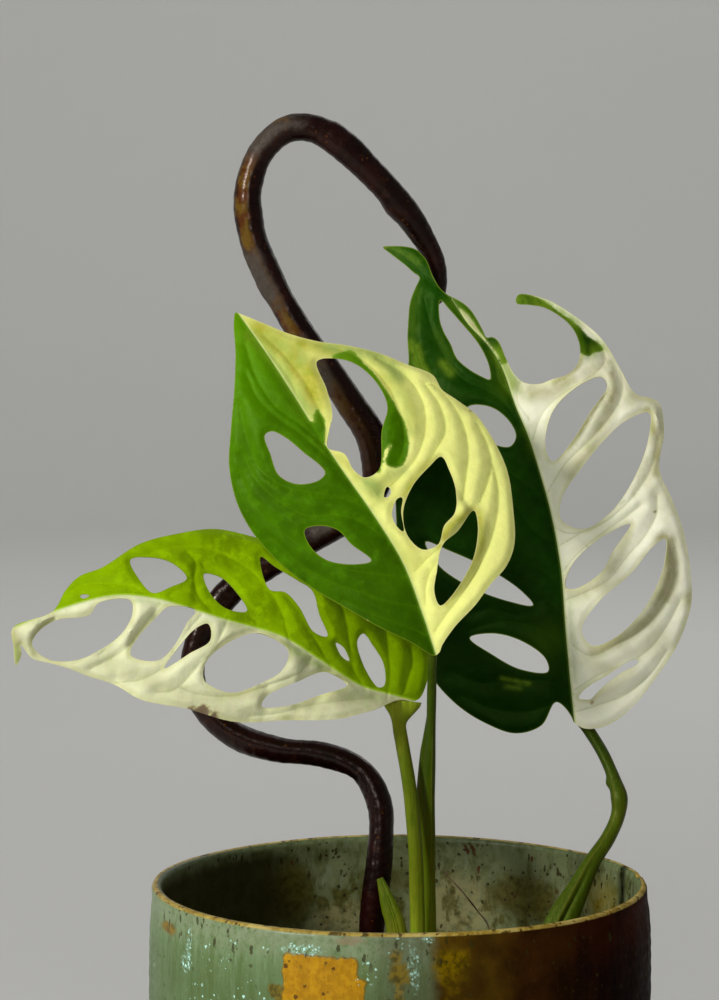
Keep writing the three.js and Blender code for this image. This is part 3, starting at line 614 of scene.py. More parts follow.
def pot_paint(look):
    """Reactive glaze: streaked green on the left, rust to maroon on the right, ochre patches, pale crystals.

    across is the length round the belly from the front, back the same inside from the back, up the height
    and course the length from the lip, in millimetres. Patches are boxes and blots are ellipses of across or
    back and up, whose borders are pushed about by noise.
    """
    paint = Paint("pot_glaze")
    blend, layers, step, noise, specks = paint.blend, paint.layers, paint.step, paint.noise, paint.specks
    times, plus, minus, largest = paint.times, paint.plus, paint.minus, paint.largest

    # Places and noises that the glazes share
    x, y, z = paint.add("SeparateXYZ", {0: paint.place}).outputs
    round_belly = times(paint.math("ARCTAN2", x, times(y, -1.0)), BELLY)
    back = times(paint.math("ARCTAN2", x, y), HOLLOW)
    up = times(z, 1 / MM)
    course = paint.field("course")
    tall = paint.stretched(1, 1, 0.16)
    streaks, fine = noise(3.2, 4, 0.6, tall), noise(1.1, 3, 0.6, tall)
    cloud, grit = noise(16, 4, 0.55), noise(2.2, 3, 0.6)
    push, sway = paint.swing(noise(3.4, 3, 0.6), 4.6), paint.swing(noise(2.9, 3, 0.6, warp=0.4), 4.6)
    wide_push = paint.swing(cloud, 22.0)
    across, raised = plus(round_belly, push), plus(up, sway)
    calm_across, calm_raised = plus(round_belly, times(push, 0.6)), plus(up, times(sway, 0.5))
    outer_plane = paint.add("CombineXYZ", {0: across, 1: raised}).outputs[0]
    inner_plane = paint.add("CombineXYZ", {0: plus(back, wide_push), 1: raised}).outputs[0]
    torn = paint.torn_place(0.9, 0.0011)
    fleck = specks(2.0, 0.34, share=0.36, place=torn)
    dust = specks(0.9, 0.30, share=0.28)
    flat_torn = paint.add("Mapping", {0: torn, "Scale": (1, 1, 0.4)}).outputs[0]
    strokes = specks(1.9, 0.36, share=0.5, place=flat_torn)
    gritty = step(grit, 0.25, 0.6)

    def patch(middle, half, soft=0.5):
        side = minus(paint.size(minus(calm_across, middle[0])), half[0])
        rise = minus(paint.size(minus(calm_raised, middle[1])), half[1])
        inset = paint.add("Math", {0: side, 1: rise, 2: 2.4}, operation="SMOOTH_MAX").outputs[0]
        return step(inset, soft, -soft)

    def blot(middle, reach, soft=0.35, plane=outer_plane):
        size = (1 / reach[0], 1 / reach[1], 0)
        start = (-middle[0] / reach[0], -middle[1] / reach[1], 0)
        place = paint.vector("MULTIPLY_ADD", plane, size, start).outputs[0]
        return step(paint.vector("LENGTH", place).outputs["Value"], 1 + soft, 1 - soft)

    # Green glaze, with painted shade lower down and from the front towards the rust
    green = layers(
        blend(step(streaks, 0.30, 0.72), tint(88, 110, 62), tint(110, 134, 92)),
        (step(fine, 0.50, 0.74), tint(136, 160, 126), 0.45),
        (step(cloud, 0.52, 0.72), tint(94, 106, 48), 0.4),
        (times(step(raised, 127, 137), gritty), tint(136, 148, 116), 0.7),
        # painted shade: the green darker lower down, as the light falls off downwards
        (step(raised, 131, 117), tint(74, 94, 48), 0.5),
        # painted shade: the green darker from just left of the front towards the rust, where the key light
        # falls off
        (times(step(across, -14, -2), step(across, 60, 40)), tint(72, 74, 50), 0.6),
    )

    # Umber, rust and maroon glaze
    clouded = step(cloud, 0.35, 0.65)
    rust = blend(clouded, tint(34, 17, 4), tint(62, 34, 8))
    rust = blend(step(streaks, 0.55, 0.75), rust, tint(78, 48, 14), 0.3)
    maroon = blend(step(streaks, 0.35, 0.65), tint(16, 5, 2), tint(32, 11, 4))
    red = times(step(raised, 118, 137), step(cloud, 0.30, 0.6))
    right = layers(
        blend(clouded, tint(62, 42, 8), tint(92, 70, 14)),
        (step(across, 20, 40), rust),
        (step(across, 44, 74), blend(red, maroon, tint(60, 22, 6), 0.7)),
    )
    far_border = step(plus(across, times(wide_push, 3.0)), 188, 170)
    on_right = times(step(across, look.rust_start[0] / MM, look.rust_start[1] / MM), far_border)

    # Ochre patches, amber smears and pale crystals
    ochre = largest(
        patch((-25.4, 119.5), (11.8, 13.0)),
        patch((-16, 114.5), (4.6, 12.0)),
        patch((-160, 112), (14, 17), 0.8),
        patch((-60, 70), (9, 16), 0.8),
        patch((-142, 92), (5, 14), 0.8),
    )
    amber = largest(
        patch((-39.6, 120.8), (2.6, 2.0)),
        patch((-37, 118.2), (3.0, 1.5)),
        patch((-1.9, 133.2), (1.8, 1.8), 0.9),
        patch((-0.9, 128.4), (3.1, 3.1), 0.9),
        patch((-0.9, 120.4), (1.2, 1.4), 0.9),
        times(patch((14.6, 126.0), (5.6, 8.6), 1.6), step(cloud, 0.34, 0.56)),
        patch((-16, 84), (5, 15), 0.8),
        times(blot((178, 112), (16, 22), 0.6), step(cloud, 0.40, 0.56)),
        times(blot((40, 58), (15, 24), 0.6), step(cloud, 0.40, 0.56)),
    )
    smudge = largest(blot((-92, 131.6), (6.0, 1.7)), times(blot((-1, 124), (1.2, 3)), 0.6))
    yellow = blend(step(grit, 0.35, 0.66), tint(168, 120, 2), tint(190, 142, 8))
    yellow = blend(step(streaks, 0.60, 0.40), yellow, tint(146, 98, 2), 0.35)
    patch_border = minus(1.0, paint.size(minus(times(ochre, 2.0), 1.0)))
    crystal_zone = largest(
        blot((-31.4, 133.9), (6.4, 1.5)),
        blot((-76.8, 129), (1.3, 5.5)),
        blot((-78.5, 123.5), (3.0, 2.4)),
        times(blot((3.4, 130), (1.7, 7)), 0.45),
        blot((7.8, 138.4), (1.8, 1.2)),
        blot((-135, 128), (9, 4)),
        blot((230, 128), (11, 4)),
    )
    loose_zone = largest(
        blot((-48.5, 134), (8.5, 1.6)),
        blot((-67.3, 129.4), (1.6, 3.4)),
        blot((-58.6, 126.4), (2.2, 2.6)),
        blot((-50, 118), (7, 5)),
        blot((-68, 114), (9, 4)),
        blot((-190, 120), (20, 9)),
        times(step(cloud, 0.58, 0.66), 0.9),
    )
    loose = times(loose_zone, specks(1.3, 0.42, share=0.46, place=torn), minus(1.0, on_right))
    crystal = largest(times(crystal_zone, specks(0.95, 0.56, share=0.8, place=torn)), loose)

    # All of the outside
    under_lip = times(step(course, -15, -9), step(course, -1.5, -2.5))
    outside = layers(
        blend(on_right, green, right),
        (blot((-16, 137.6), (4.5, 1.4)), tint(140, 124, 96), 0.7),
        (smudge, blend(step(grit, 0.4, 0.55), tint(84, 66, 12), tint(132, 106, 20)), 0.95),
        (amber, blend(step(grit, 0.36, 0.6), tint(72, 60, 3), tint(120, 98, 3)), 0.85),
        (ochre, yellow),
        (patch_border, tint(84, 76, 14), 0.7),
        (times(crystal_zone, step(noise(1.3, 3, 0.7), 0.42, 0.66)), tint(162, 206, 184), 0.75),
        (crystal, tint(190, 238, 222)),
        (times(under_lip, times(strokes, 0.8)), tint(50, 48, 18)),
        (dust, tint(58, 52, 22), 0.45),
        (times(fleck, step(streaks, 0.4, 0.6)), tint(60, 52, 20), 0.7),
        (times(specks(2.9, 0.27, share=0.45, place=torn), ochre), tint(74, 44, 8), 0.85),
    )

    # Inside, paler on the right, olive blots, and painted shade over the dark olive of the left wall
    blots = noise(6.5, 4, 0.6, paint.stretched(1, 1, 0.7), warp=0.6)
    drops = noise(2.6, 3, 0.6, paint.stretched(1, 1, 0.30))
    beige = largest(*(blot(*row, 0.5, inner_plane) for row in (((22, 115), (14, 11)), ((-19, 110), (11, 7)))))
    olive = largest(
        times(step(raised, 130, 124), step(blots, 0.50, 0.38), 0.75),
        times(blot((48, 121), (13, 8), 0.5, inner_plane), 0.9),
        blot((-40, 121), (10, 11), 0.5, inner_plane),
        times(blot((-3, 124), (9, 5), 0.6, inner_plane), 0.6),
        times(blot((150, 118), (25, 10), 0.6, inner_plane), 0.7),
    )
    # painted shade on the left inner wall, which the light from the left does not reach, over dark olive
    # glaze
    shaded_left_wall = times(step(back, -30, -52), step(back, -150, -125), step(raised, 138, 133))
    high = times(step(course, 1.5, 2.5), step(course, 22.0, 10.0))
    rusty = largest(
        times(high, specks(3.6, 0.20, share=0.2, place=paint.stretched(1, 1, 0.5))),
        blot((24.5, 136), (1.2, 2.2), plane=inner_plane),
        blot((28.5, 135.6), (1.0, 2.4), plane=inner_plane),
    )
    behind_chip = paint.size(minus(plus(back, times(push, 0.35)), (math.pi / 2 - CHIP_TURN) * HOLLOW))
    within = layers(
        blend(step(blots, 0.36, 0.62), tint(80, 86, 48), tint(108, 116, 80)),
        (step(drops, 0.54, 0.70), tint(126, 138, 112), 0.35),
        (times(beige, gritty), tint(140, 134, 90), 0.8),
        (olive, blend(step(grit, 0.3, 0.7), tint(58, 52, 10), tint(82, 78, 28))),
        (shaded_left_wall, tint(42, 40, 8), 0.9),
        (blot((86, 126), (9, 6), 0.8, inner_plane), tint(118, 100, 14), 0.5),
        (rusty, tint(70, 32, 10), 0.9),
        (times(high, times(strokes, 0.9)), tint(46, 40, 12)),
        (specks(4.6, 0.22, share=0.20, place=torn), tint(66, 40, 12), 0.7),
        (fleck, tint(44, 38, 12), 0.85),
        (dust, tint(58, 50, 24), 0.5),
        (times(step(behind_chip, 0.9, 0.3), step(raised, 128, 131)), tint(30, 22, 8), 0.85),
    )
    within = blend(step(up, SOIL_TOP - 1, SOIL_TOP + 6), tint(44, 34, 22), within)

    # Lip, and bare clay under the foot
    lip_tone = layers(
        blend(step(streaks, 0.25, 0.70), tint(142, 114, 36), tint(188, 164, 80)),
        (step(grit, 0.45, 0.68), tint(112, 86, 28), 0.6),
        # painted highlight: pale cream segments along the lip
        (step(cloud, 0.50, 0.62), tint(208, 188, 112), 0.6),
        (step(noise(2.6, 2, 0.5), 0.58, 0.64), tint(62, 42, 12), 0.85),
    )
    from_lip = paint.size(plus(course, minus(1.0, times(step(y, 0.0, 0.06), 0.7))))
    top_tone = blend(step(grit, 0.3, 0.7), tint(86, 98, 60), tint(112, 124, 86))
    top_tone = blend(fleck, top_tone, tint(48, 42, 14))
    bare = times(step(calm_raised, 6.4, 5.2), step(course, 60, 40))
    colour = layers(
        blend(step(course, -0.8, 0.4), outside, within),
        (times(step(course, -0.2, 0.4), step(course, 3.4, 2.0)), top_tone, 0.9),
        (step(from_lip, 1.25, 0.75), lip_tone, 0.95),
        (bare, blend(grit, tint(134, 96, 66), tint(168, 128, 94))),
    )
    rough = plus(times(step(grit, 0.3, 0.75), 0.16), look.gloss, times(on_right, 0.12), times(bare, 0.5))
    relief = plus(times(streaks, 0.16), times(ochre, 0.12), times(crystal, 0.12))
    relief = plus(minus(relief, times(fleck, 0.10)), times(grit, 0.08))
    paint.feed(paint.shader.inputs["Specular IOR Level"], minus(0.2, times(on_right, 0.19)))
    return paint.finish(colour, rough, relief, 0.9)


def soil_paints():
    soil = Paint("soil_mix")
    grit, lumps = soil.noise(1.2, 4, 0.7), soil.cells(2.4)
    colour = soil.blend(soil.step(grit, 0.35, 0.7), tint(30, 22, 15), tint(74, 56, 38))
    colour = soil.blend(soil.step(lumps, 0.7, 0.2), colour, tint(52, 38, 26))
    relief = soil.plus(soil.times(grit, 0.8), soil.times(lumps, -0.8))
    paints = {"soil": soil.finish(colour, 0.92, relief)}
    for name, dark, light in (
        ("bark_chips", tint(58, 36, 22), tint(128, 86, 54)),
        ("perlite", tint(186, 182, 170), tint(232, 230, 222)),
    ):
        grain = Paint(name)
        fibres = grain.noise(0.9, 4, 0.6, grain.stretched(1, 0.25, 1))
        colour = grain.blend(grain.times(grain.field("tone"), grain.step(fibres, 0.1, 0.8)), dark, light)
        paints[name] = grain.finish(colour, 0.88, grain.times(fibres, 0.5))
    return paints


# Leaves

FACE_PITCH, EDGE_PITCH = 0.95, 0.75  # steps of a blade's points, inside and along its edges
CLOSEST, RIM_CLEAR = 0.33, 0.45  # least distances between points, and from a point to an edge
RIM_THICKNESS = 0.24
KEEL_DEPTH, KEEL_WIDTH = 1.1, 1.6  # of the midrib below a blade; widths are those of a bell
VALLEY_DEPTH, VALLEY_WIDTH = 0.32, 1.3  # of the dip over the midrib
RIDGE_DEPTH, RIDGE_WIDTH = 0.28, 0.6  # of a side vein below a blade
GROOVE_DEPTH, GROOVE_WIDTH = 0.24, 0.55  # of the dip over a side vein
VEIN_REACH, RIB_REACH = 2.6, 2.4  # how far a vein and the midrib hold the swelling down

# Each blade is drawn flat: a runs from the stalk to the tip and b to the left of that line.
# Each blade's wash spots and wash lines mark painted shade on its folds and rolled hole edges, together with
# olive and tan washes.
CENTRE_LEAF = {
    "pale_left": False,
    "wash_and_shade_spots": [(52.7, -10, 5, 0.6), (82.4, -29.2, 6, 0.7), (74.2, -3.9, 5, 0.5), (92.2, -29.7, 5, 0.5),
        (30, -6, 7, 0.4), (104, -6, 6, 0.35)],
    "scars": [(62, -49, 1.2, 0.5), (19, 13.6, 0.9, 0.5)],
    "base": (11, -16, 216.5),
    "tip": (-51.5, 14, 322),
    "face": (0.1, -1, 0.1),
    "rib": [(0, 0, 0), (12.5, -2.5, 2), (29, -5, 4), (46, -4.5, 6), (63, -3, 7), (78.5, -2, 7), (96, -1.5, 6),
        (109.5, -1, 4), (126.5, 0, 0)],
    "fold": ((0.25, 0.25, 0.2, 0.15, 0.1), (0.3, 0.25, 0.2, 0.15, 0.05)),
    "curl": ((-1.2, -1.3, -1.1, -1, -0.8), (-0.9, -0.8, -0.6, -0.5, -0.4)),
    "left": [(128.4, 0.8), (126.6, 2.2), (124.3, 3.6), (116, 7.5), (105, 14), (94, 21.5), (84.5, 27.5),
        (73.5, 31), (63.5, 31.5), (51.5, 29.5), (39.5, 25), (28, 19), (15.5, 12), (5.5, 5), (-1, 1)],
    "right": [(128.4, 0.8), (126, -1.2), (120.5, -5), (112.5, -10.5), (105.5, -17), (100, -24), (92.5, -32),
        (84, -39), (77.5, -44), (72, -44), (67, -46.5), (60.5, -49.5), (50.5, -50.5), (39.5, -49.5),
        (27, -44.5), (17, -39), (12, -33), (9.5, -26), (6, -18), (3.5, -9.5), (0.5, -3), (-1, -1)],
    "holes": [
        [(86.5, 13), (86.5, 10.5), (82, 7.5), (75, 5), (68.5, 2.5), (66, 2.5), (65, 5.5), (67.5, 12),
            (73, 15.5), (80, 14.5)],
        [(53.5, 17), (52, 12), (48, 8), (42, 6.5), (34.5, 3.5), (36, 8.5), (41.5, 15.5), (48, 18)],
        [(99.5, -13.5), (97, -19.5), (92, -24), (83.5, -26.5), (75, -25.5), (69, -20), (58.5, -13),
            (58.5, -8), (62.5, -6), (68.5, -6), (73, -2.5), (77.5, -5.5), (81.5, -9), (89.5, -11.5)],
        [(50, -10), (49.5, -11.5), (51, -13), (52.5, -12.5)],
        [(44, -9.5), (47.5, -13.5), (47, -15), (43.5, -12.5), (37.5, -10), (40, -9)],
        [(52.5, -32.5), (47.5, -32.5), (40.5, -31), (34.5, -27), (32.5, -22), (28.5, -17.5), (29.5, -12.5),
            (36, -10.5), (43, -13), (48.5, -19.5), (51.5, -27.5)],
        [(32.5, -33), (27.5, -31.5), (20, -26), (15.5, -20), (12, -12.5), (11.5, -8.5), (16, -9), (21.5, -13),
            (27.5, -18.5), (29, -25)],
    ],
    "veins": [
        [(76.5, -1), (84, 1.5), (93.5, 5.5), (105.5, 6), (116.5, 3.5)],
        [(63, -3.5), (71, -0.5), (81.5, 3), (90.5, 7), (98.5, 9), (108, 8)],
        [(48, -4.5), (55.5, 1), (61.5, 7.5), (68, 15), (77, 19.5), (88, 18.5), (99.5, 15)],
        [(37.5, -4.5), (47, 0.5), (53, 6), (56.5, 13.5), (63.5, 18.5), (73.5, 22), (85, 22)],
        [(25, -3.5), (30.5, 4.5), (36.5, 12), (45, 18), (55.5, 23), (67.5, 26.5), (80, 26)],
        [(15, -2), (21.5, 6), (29, 12.5), (37, 19), (47, 24), (58, 27.5)],
        [(6, 0), (12.5, 5.5), (20.5, 12), (28.5, 17.5)],
        [(79, -5), (89.5, -6.5), (99.5, -6.5), (109, -5), (117, -3)],
        [(90.5, -2), (99.5, -3), (108.5, -2), (115.5, -0.5)],
        [(57.5, -19.5), (61.5, -24), (69, -27.5), (78.5, -29), (87.5, -28), (96.5, -24), (103, -18.5)],
        [(51.5, -9), (53, -17), (56, -25), (61, -31), (68.5, -35.5), (76, -36.5), (83.5, -35), (90.5, -31)],
        [(40.5, -9), (44, -12.5), (47, -15), (50, -22.5), (55, -31.5), (59.5, -38), (67.5, -40.5),
            (75.5, -40)],
        [(25, -7), (26.5, -12.5), (27.5, -18)],
        [(37, -31.5), (43, -36), (49, -40.5), (56, -43.5), (62.5, -44.5), (68.5, -44), (75, -42)],
        [(34, -36), (38.5, -41.5), (43.5, -46), (50.5, -48), (57, -48.5)],
        [(5.5, -3), (8.5, -9.5), (11.5, -17), (15.5, -24.5), (20.5, -31.5), (28, -39), (35, -43.5),
            (43, -46)],
        [(14, -4.5), (18.5, -7), (22, -10.5), (24.5, -15)],
    ],
    "creases": [
        (-0.35, 7, [(26, 10), (31.5, 14), (37.5, 16.5), (43.5, 18.5), (49, 22.5), (56.5, 25), (64.5, 26.5),
            (72, 26.5), (83.5, 24)]),
        (-0.35, 6, [(74.5, 16.5), (81.5, 17), (88.5, 16.5), (95.5, 15), (103, 12.5)]),
        (-0.35, 5, [(88, -33), (82.5, -38.5), (76, -41), (68.5, -44), (64.5, -45), (59, -44)]),
        (0.9, 3, [(11, -9.5), (11, -13.5), (12.5, -18.5), (15.5, -24), (20, -29.5), (25, -34), (30, -36.5)]),
        (0.9, 2.5, [(26.5, -19), (28.5, -23), (30, -28), (30.5, -33)]),
        (-0.3, 5, [(110, -13), (103, -18.5), (96, -25.5), (87.5, -31.5), (79.5, -32)]),
        (-0.6, 2, [(48, -15.5), (41, -14.5), (35, -13)]),
    ],
    "patches": [
        (False, [(97, -25), (92.5, -26), (86, -27.5), (78, -28), (72.5, -28), (67, -27.5), (62, -26),
            (59, -24), (56, -20.5), (56, -18), (58, -16), (60, -16), (61.5, -18), (63.5, -20.5), (63, -18),
            (60.5, -15.5), (57.5, -12.5), (59, -11.5), (67, -17), (73, -23), (78, -24.5), (86, -24),
            (92.5, -22), (98.5, -18), (98, -23)]),
        (False, [(85.5, -6), (84, -6), (81, -6), (79, -5), (76.5, -3.5), (74.5, -2), (75.5, -1), (80.5, -0.5),
            (83.5, -1.5), (82.5, -3), (84.5, -3.5)]),
    ],
    "wash_and_shade_lines": [
        (1.1, 7, [(118, -2), (108, -6), (98.5, -8), (89.5, -7.5)]),
        (1, 3.6, [(107.5, -11.5), (102.5, -17), (97.5, -22)]),
        (0.5, 3, [(97.5, -10), (88.5, -7.5), (82.5, -6.5)]),
        (0.55, 3, [(88, -31.5), (80.5, -32.5), (73, -32), (64, -29)]),
        (0.6, 1.6, [(105, -16.5), (100.5, -22.5), (95.5, -27.5)]),
        (0.6, 2.2, [(68.5, -3.5), (64, -5.5), (60, -6)]),
        (0.9, 2, [(38, -10.5), (43, -12.5), (47, -17), (50.5, -23.5), (52, -30)]),
        (1, 1.8, [(28, -18), (31, -22.5), (32, -27.5), (32, -32.5)]),
        (1, 1.4, [(31, -34), (21.5, -29), (15.5, -19.5), (11.5, -10.5)]),
    ],
    "mints": [
        (1, 2.6, [(57, -7.5), (54.5, -9), (51.5, -9)]),
        (0.5, 2, [(56, -13.5), (55, -16.5), (54.5, -19.5)]),
        (0.9, 2.2, [(119, 0.5), (106.5, -2), (95, -2.5), (85, -3)]),
        (0.5, 3, [(115, -4), (107, -7.5), (102, -9.5)]),
        (0.95, 2.8, [(101.5, -19.5), (97.5, -24.5), (93, -30), (87.5, -33), (82, -33.5)]),
        (0.45, 2, [(77.5, -31.5), (71, -30.5), (64.5, -28.5)]),
        (0.35, 0.9, [(49.5, -5), (33, -6), (17, -3.5), (7.5, -1)]),
    ],
}
LEFT_LEAF = {
    "pale_left": True,
    "wash_and_shade_spots": [(57.7, -12.9, 5, 0.5), (34.4, -8.2, 7, 0.5), (85.4, 10.1, 6, 0.35), (21.6, -3.5, 7, 0.5),
        (115.7, -6, 5, 0.4), (82.1, -2.9, 5, 0.3)],
    "scars": [(61.5, 16.2, 2.4, 1), (57.4, 16.8, 1.8, 0.8), (65, 16, 1.6, 0.7)],
    "base": (-1.5, -6, 201),
    "tip": (-120.5, -30, 226),
    "face": (-0.05, -1, 0.25),
    "rib": [(0, 0, 0), (12, -1, 2), (26, -6, 5), (41, -11.5, 7), (60.5, -13.5, 8), (72.5, -15, 8),
        (84, -16, 7.5), (96.5, -14.5, 6), (113.5, -6.5, 3), (124, 0, 0)],
    "fold": ((1.2, 0.5, 0, -0.2, -0.3), (-0.2, -0.35, -0.4, -0.35, -0.3)),
    "curl": ((-5, -2, -0.6, -0.4, -0.3), (-0.3, -0.3, -0.4, -0.5, -0.5)),
    "left": [(121, 11.5), (120, 8), (121, 5), (116.5, 8.5), (111, 9), (105.5, 9.5), (97.5, 11), (90, 12),
        (81, 15.5), (67, 16), (50.5, 17.5), (35.5, 14.5), (19.5, 11.5), (8, 6.5), (-2, 1), (-6, 1)],
    "right": [(121, 11.5), (123, 6), (124.5, 0.5), (113.5, -6.5), (110.5, -14), (107, -19), (100.5, -23),
        (89.5, -33), (78.5, -38.5), (65.5, -43), (54, -43), (40.5, -41), (26.5, -36), (11.5, -29.5),
        (-1, -22.5), (-8.5, -18), (-10.5, -13), (-10.5, -6.5), (-8.5, -0.5), (-6, 1)],
    "holes": [
        [(92, -27), (86, -29), (79, -28.5), (73.5, -24.5), (78.5, -20.5), (84, -17.5), (88.5, -21)],
        [(68, -27), (62.5, -27), (58, -24), (53, -17.5), (60, -17), (65.5, -21)],
        [(50, -36.5), (45, -34), (37.5, -31), (32, -28.5), (29, -21), (25.5, -14.5), (30.5, -15), (36, -22),
            (41, -26), (46.5, -26)],
        [(22.5, -13), (19.5, -12), (17, -8), (20, -9)],
        [(15, -15), (13, -18), (9.5, -15), (5, -9.5), (4, -2.5), (6, -1.5), (11.5, -7)],
        [(117.5, 4.5), (116.5, 0.5), (112, -4), (102, -7.5), (100, -11.5), (90.5, -14), (89, -10), (91, -3.5),
            (97, 3), (103.5, 7), (111.5, 8)],
        [(87, 2.5), (85.5, -3.5), (81.5, -10), (78.5, -14), (69.5, -14.5), (71.5, -10.5), (74.5, -2),
            (78.5, 3)],
        [(76, 5), (72.5, -3), (68.5, -9), (65, -11), (63.5, -6), (69, -1)],
        [(63, 6.5), (63.5, 1), (58.5, -5.5), (49.5, -11), (42.5, -10), (38, -7), (39.5, -0.5), (46, 5),
            (53.5, 9), (60.5, 8)],
        [(43.5, 11.5), (42.5, 8), (33, 1.5), (24.5, -3), (16.5, -0.5), (26, 5), (35.5, 10)],
        [(106, -12.75), (105.5, -13.25), (104.25, -13.5), (103, -13.25), (104, -12.5), (105, -12)],
    ],
    "veins": [
        [(31, -8), (37.5, -10), (41.5, -18.5), (45.5, -25), (49, -28.5), (55, -32), (61.5, -34.5),
            (71.5, -35.5), (80, -33.5), (86, -30.5)],
        [(64, -15), (68.5, -18.5), (71, -24), (71, -30.5), (74, -33)],
        [(49.5, -14.5), (54.5, -17.5), (59, -21.5), (62, -25), (65.5, -27.5), (69, -30.5)],
        [(84.5, -16.5), (91, -18.5), (99, -18), (106.5, -16), (111.5, -11)],
        [(74.5, -16), (78.5, -17.5), (75, -21), (72, -24.5)],
        [(10, 0), (15.5, -6), (17.5, -13), (19.5, -21), (22, -26.5), (29, -32), (36.5, -36), (44.5, -39)],
        [(22.5, -4.5), (27, -9.5), (32, -16), (37, -22), (42.5, -26.5), (47, -29.5)],
        [(2.5, 1.5), (2.5, -7), (4, -16), (5.5, -22), (9, -26)],
        [(-2.5, 0.5), (-4, -6), (-5, -12), (-4, -17)],
        [(81, -14.5), (84, -8.5), (87, -2), (91.5, 3.5), (98, 8.5)],
        [(93.5, -12.5), (91, -7.5), (92.5, -2), (96.5, 4)],
        [(67.5, -13.5), (71, -8), (74, -1.5), (76.5, 5), (82.5, 9.5), (89.5, 11.5)],
        [(59, -13.5), (61, -6.5), (64, -1), (67, 4.5), (71.5, 11), (77, 12.5)],
        [(30, -6.5), (33.5, -1), (40, 3), (47.5, 7), (54.5, 10), (63.5, 11), (70.5, 10)],
        [(6.5, 2), (17.5, 5), (28.5, 8.5), (37.5, 12.5), (46.5, 15)],
        [(51.5, -12), (59, -7), (63.5, -0.5)],
    ],
    "creases": [
        (-0.9, 3, [(81.5, -15), (85, -11), (88, -6.5), (89, -1.5), (88, 3)]),
        (-0.7, 4, [(46, -14.5), (54.5, -11), (60, -6.5), (63.5, -1.5), (65, 4.5), (63, 8.5)]),
        (-0.6, 4, [(20, -4), (26.5, -6), (34, -6.5)]),
        (-0.35, 5, [(38.5, -10.5), (42.5, -20), (45.5, -25), (49, -28.5), (55, -31.5), (61.5, -34),
            (71.5, -35), (78.5, -34)]),
        (-1.3, 3, [(111.5, -5.5), (115.5, -3.5), (118, 0), (118.5, 3)]),
        (-0.5, 4, [(22, -5), (30.5, -3), (39.5, 2), (47.5, 4)]),
        (0.55, 4, [(0, 0.5), (12, 4.5), (25.5, 8), (36, 11.5)]),
    ],
    "patches": [],
    "wash_and_shade_lines": [
        (1, 1.2, [(113, -4.5), (116, -1), (117.5, 3.5), (116.5, 7)]),
        (1, 2.4, [(123.5, 3), (121.5, 7.5), (120.5, 11.5)]),
        (0.55, 4, [(93, 5.5), (79.5, 10), (63, 13.5), (47, 14)]),
        (0.6, 3, [(35.5, 13.5), (22, 9), (5, 4.5), (-6, 1.5)]),
        (0.5, 1.6, [(87, 2.5), (87, -2), (84, -7.5), (80.5, -12)]),
        (0.6, 1, [(61.5, -4), (57, -8), (49.5, -12), (43.5, -11.5)]),
        (0.75, 6, [(33, 8.5), (19, 4.5), (5, 2), (-3.5, 1)]),
        (0.6, 4, [(69, 15), (58.5, 12), (46.5, 7.5)]),
        (0.6, 3, [(37.5, -6), (30, -5), (22, -5)]),
    ],
    "mints": [
        (0.9, 1.6, [(122, 7), (121, 9), (120, 12)]),
        (0.4, 1.2, [(97, -13.5), (84.5, -14.5), (71.5, -14)]),
        (0.4, 1, [(60, -12.5), (45, -11.5), (34.5, -7.5)]),
        (0.9, 1.4, [(40, -9), (34, -7), (26.5, -4.5), (18, -1.5)]),
        (0.35, 1.5, [(5, 1.5), (15.5, 2.5), (24.5, 1)]),
    ],
}
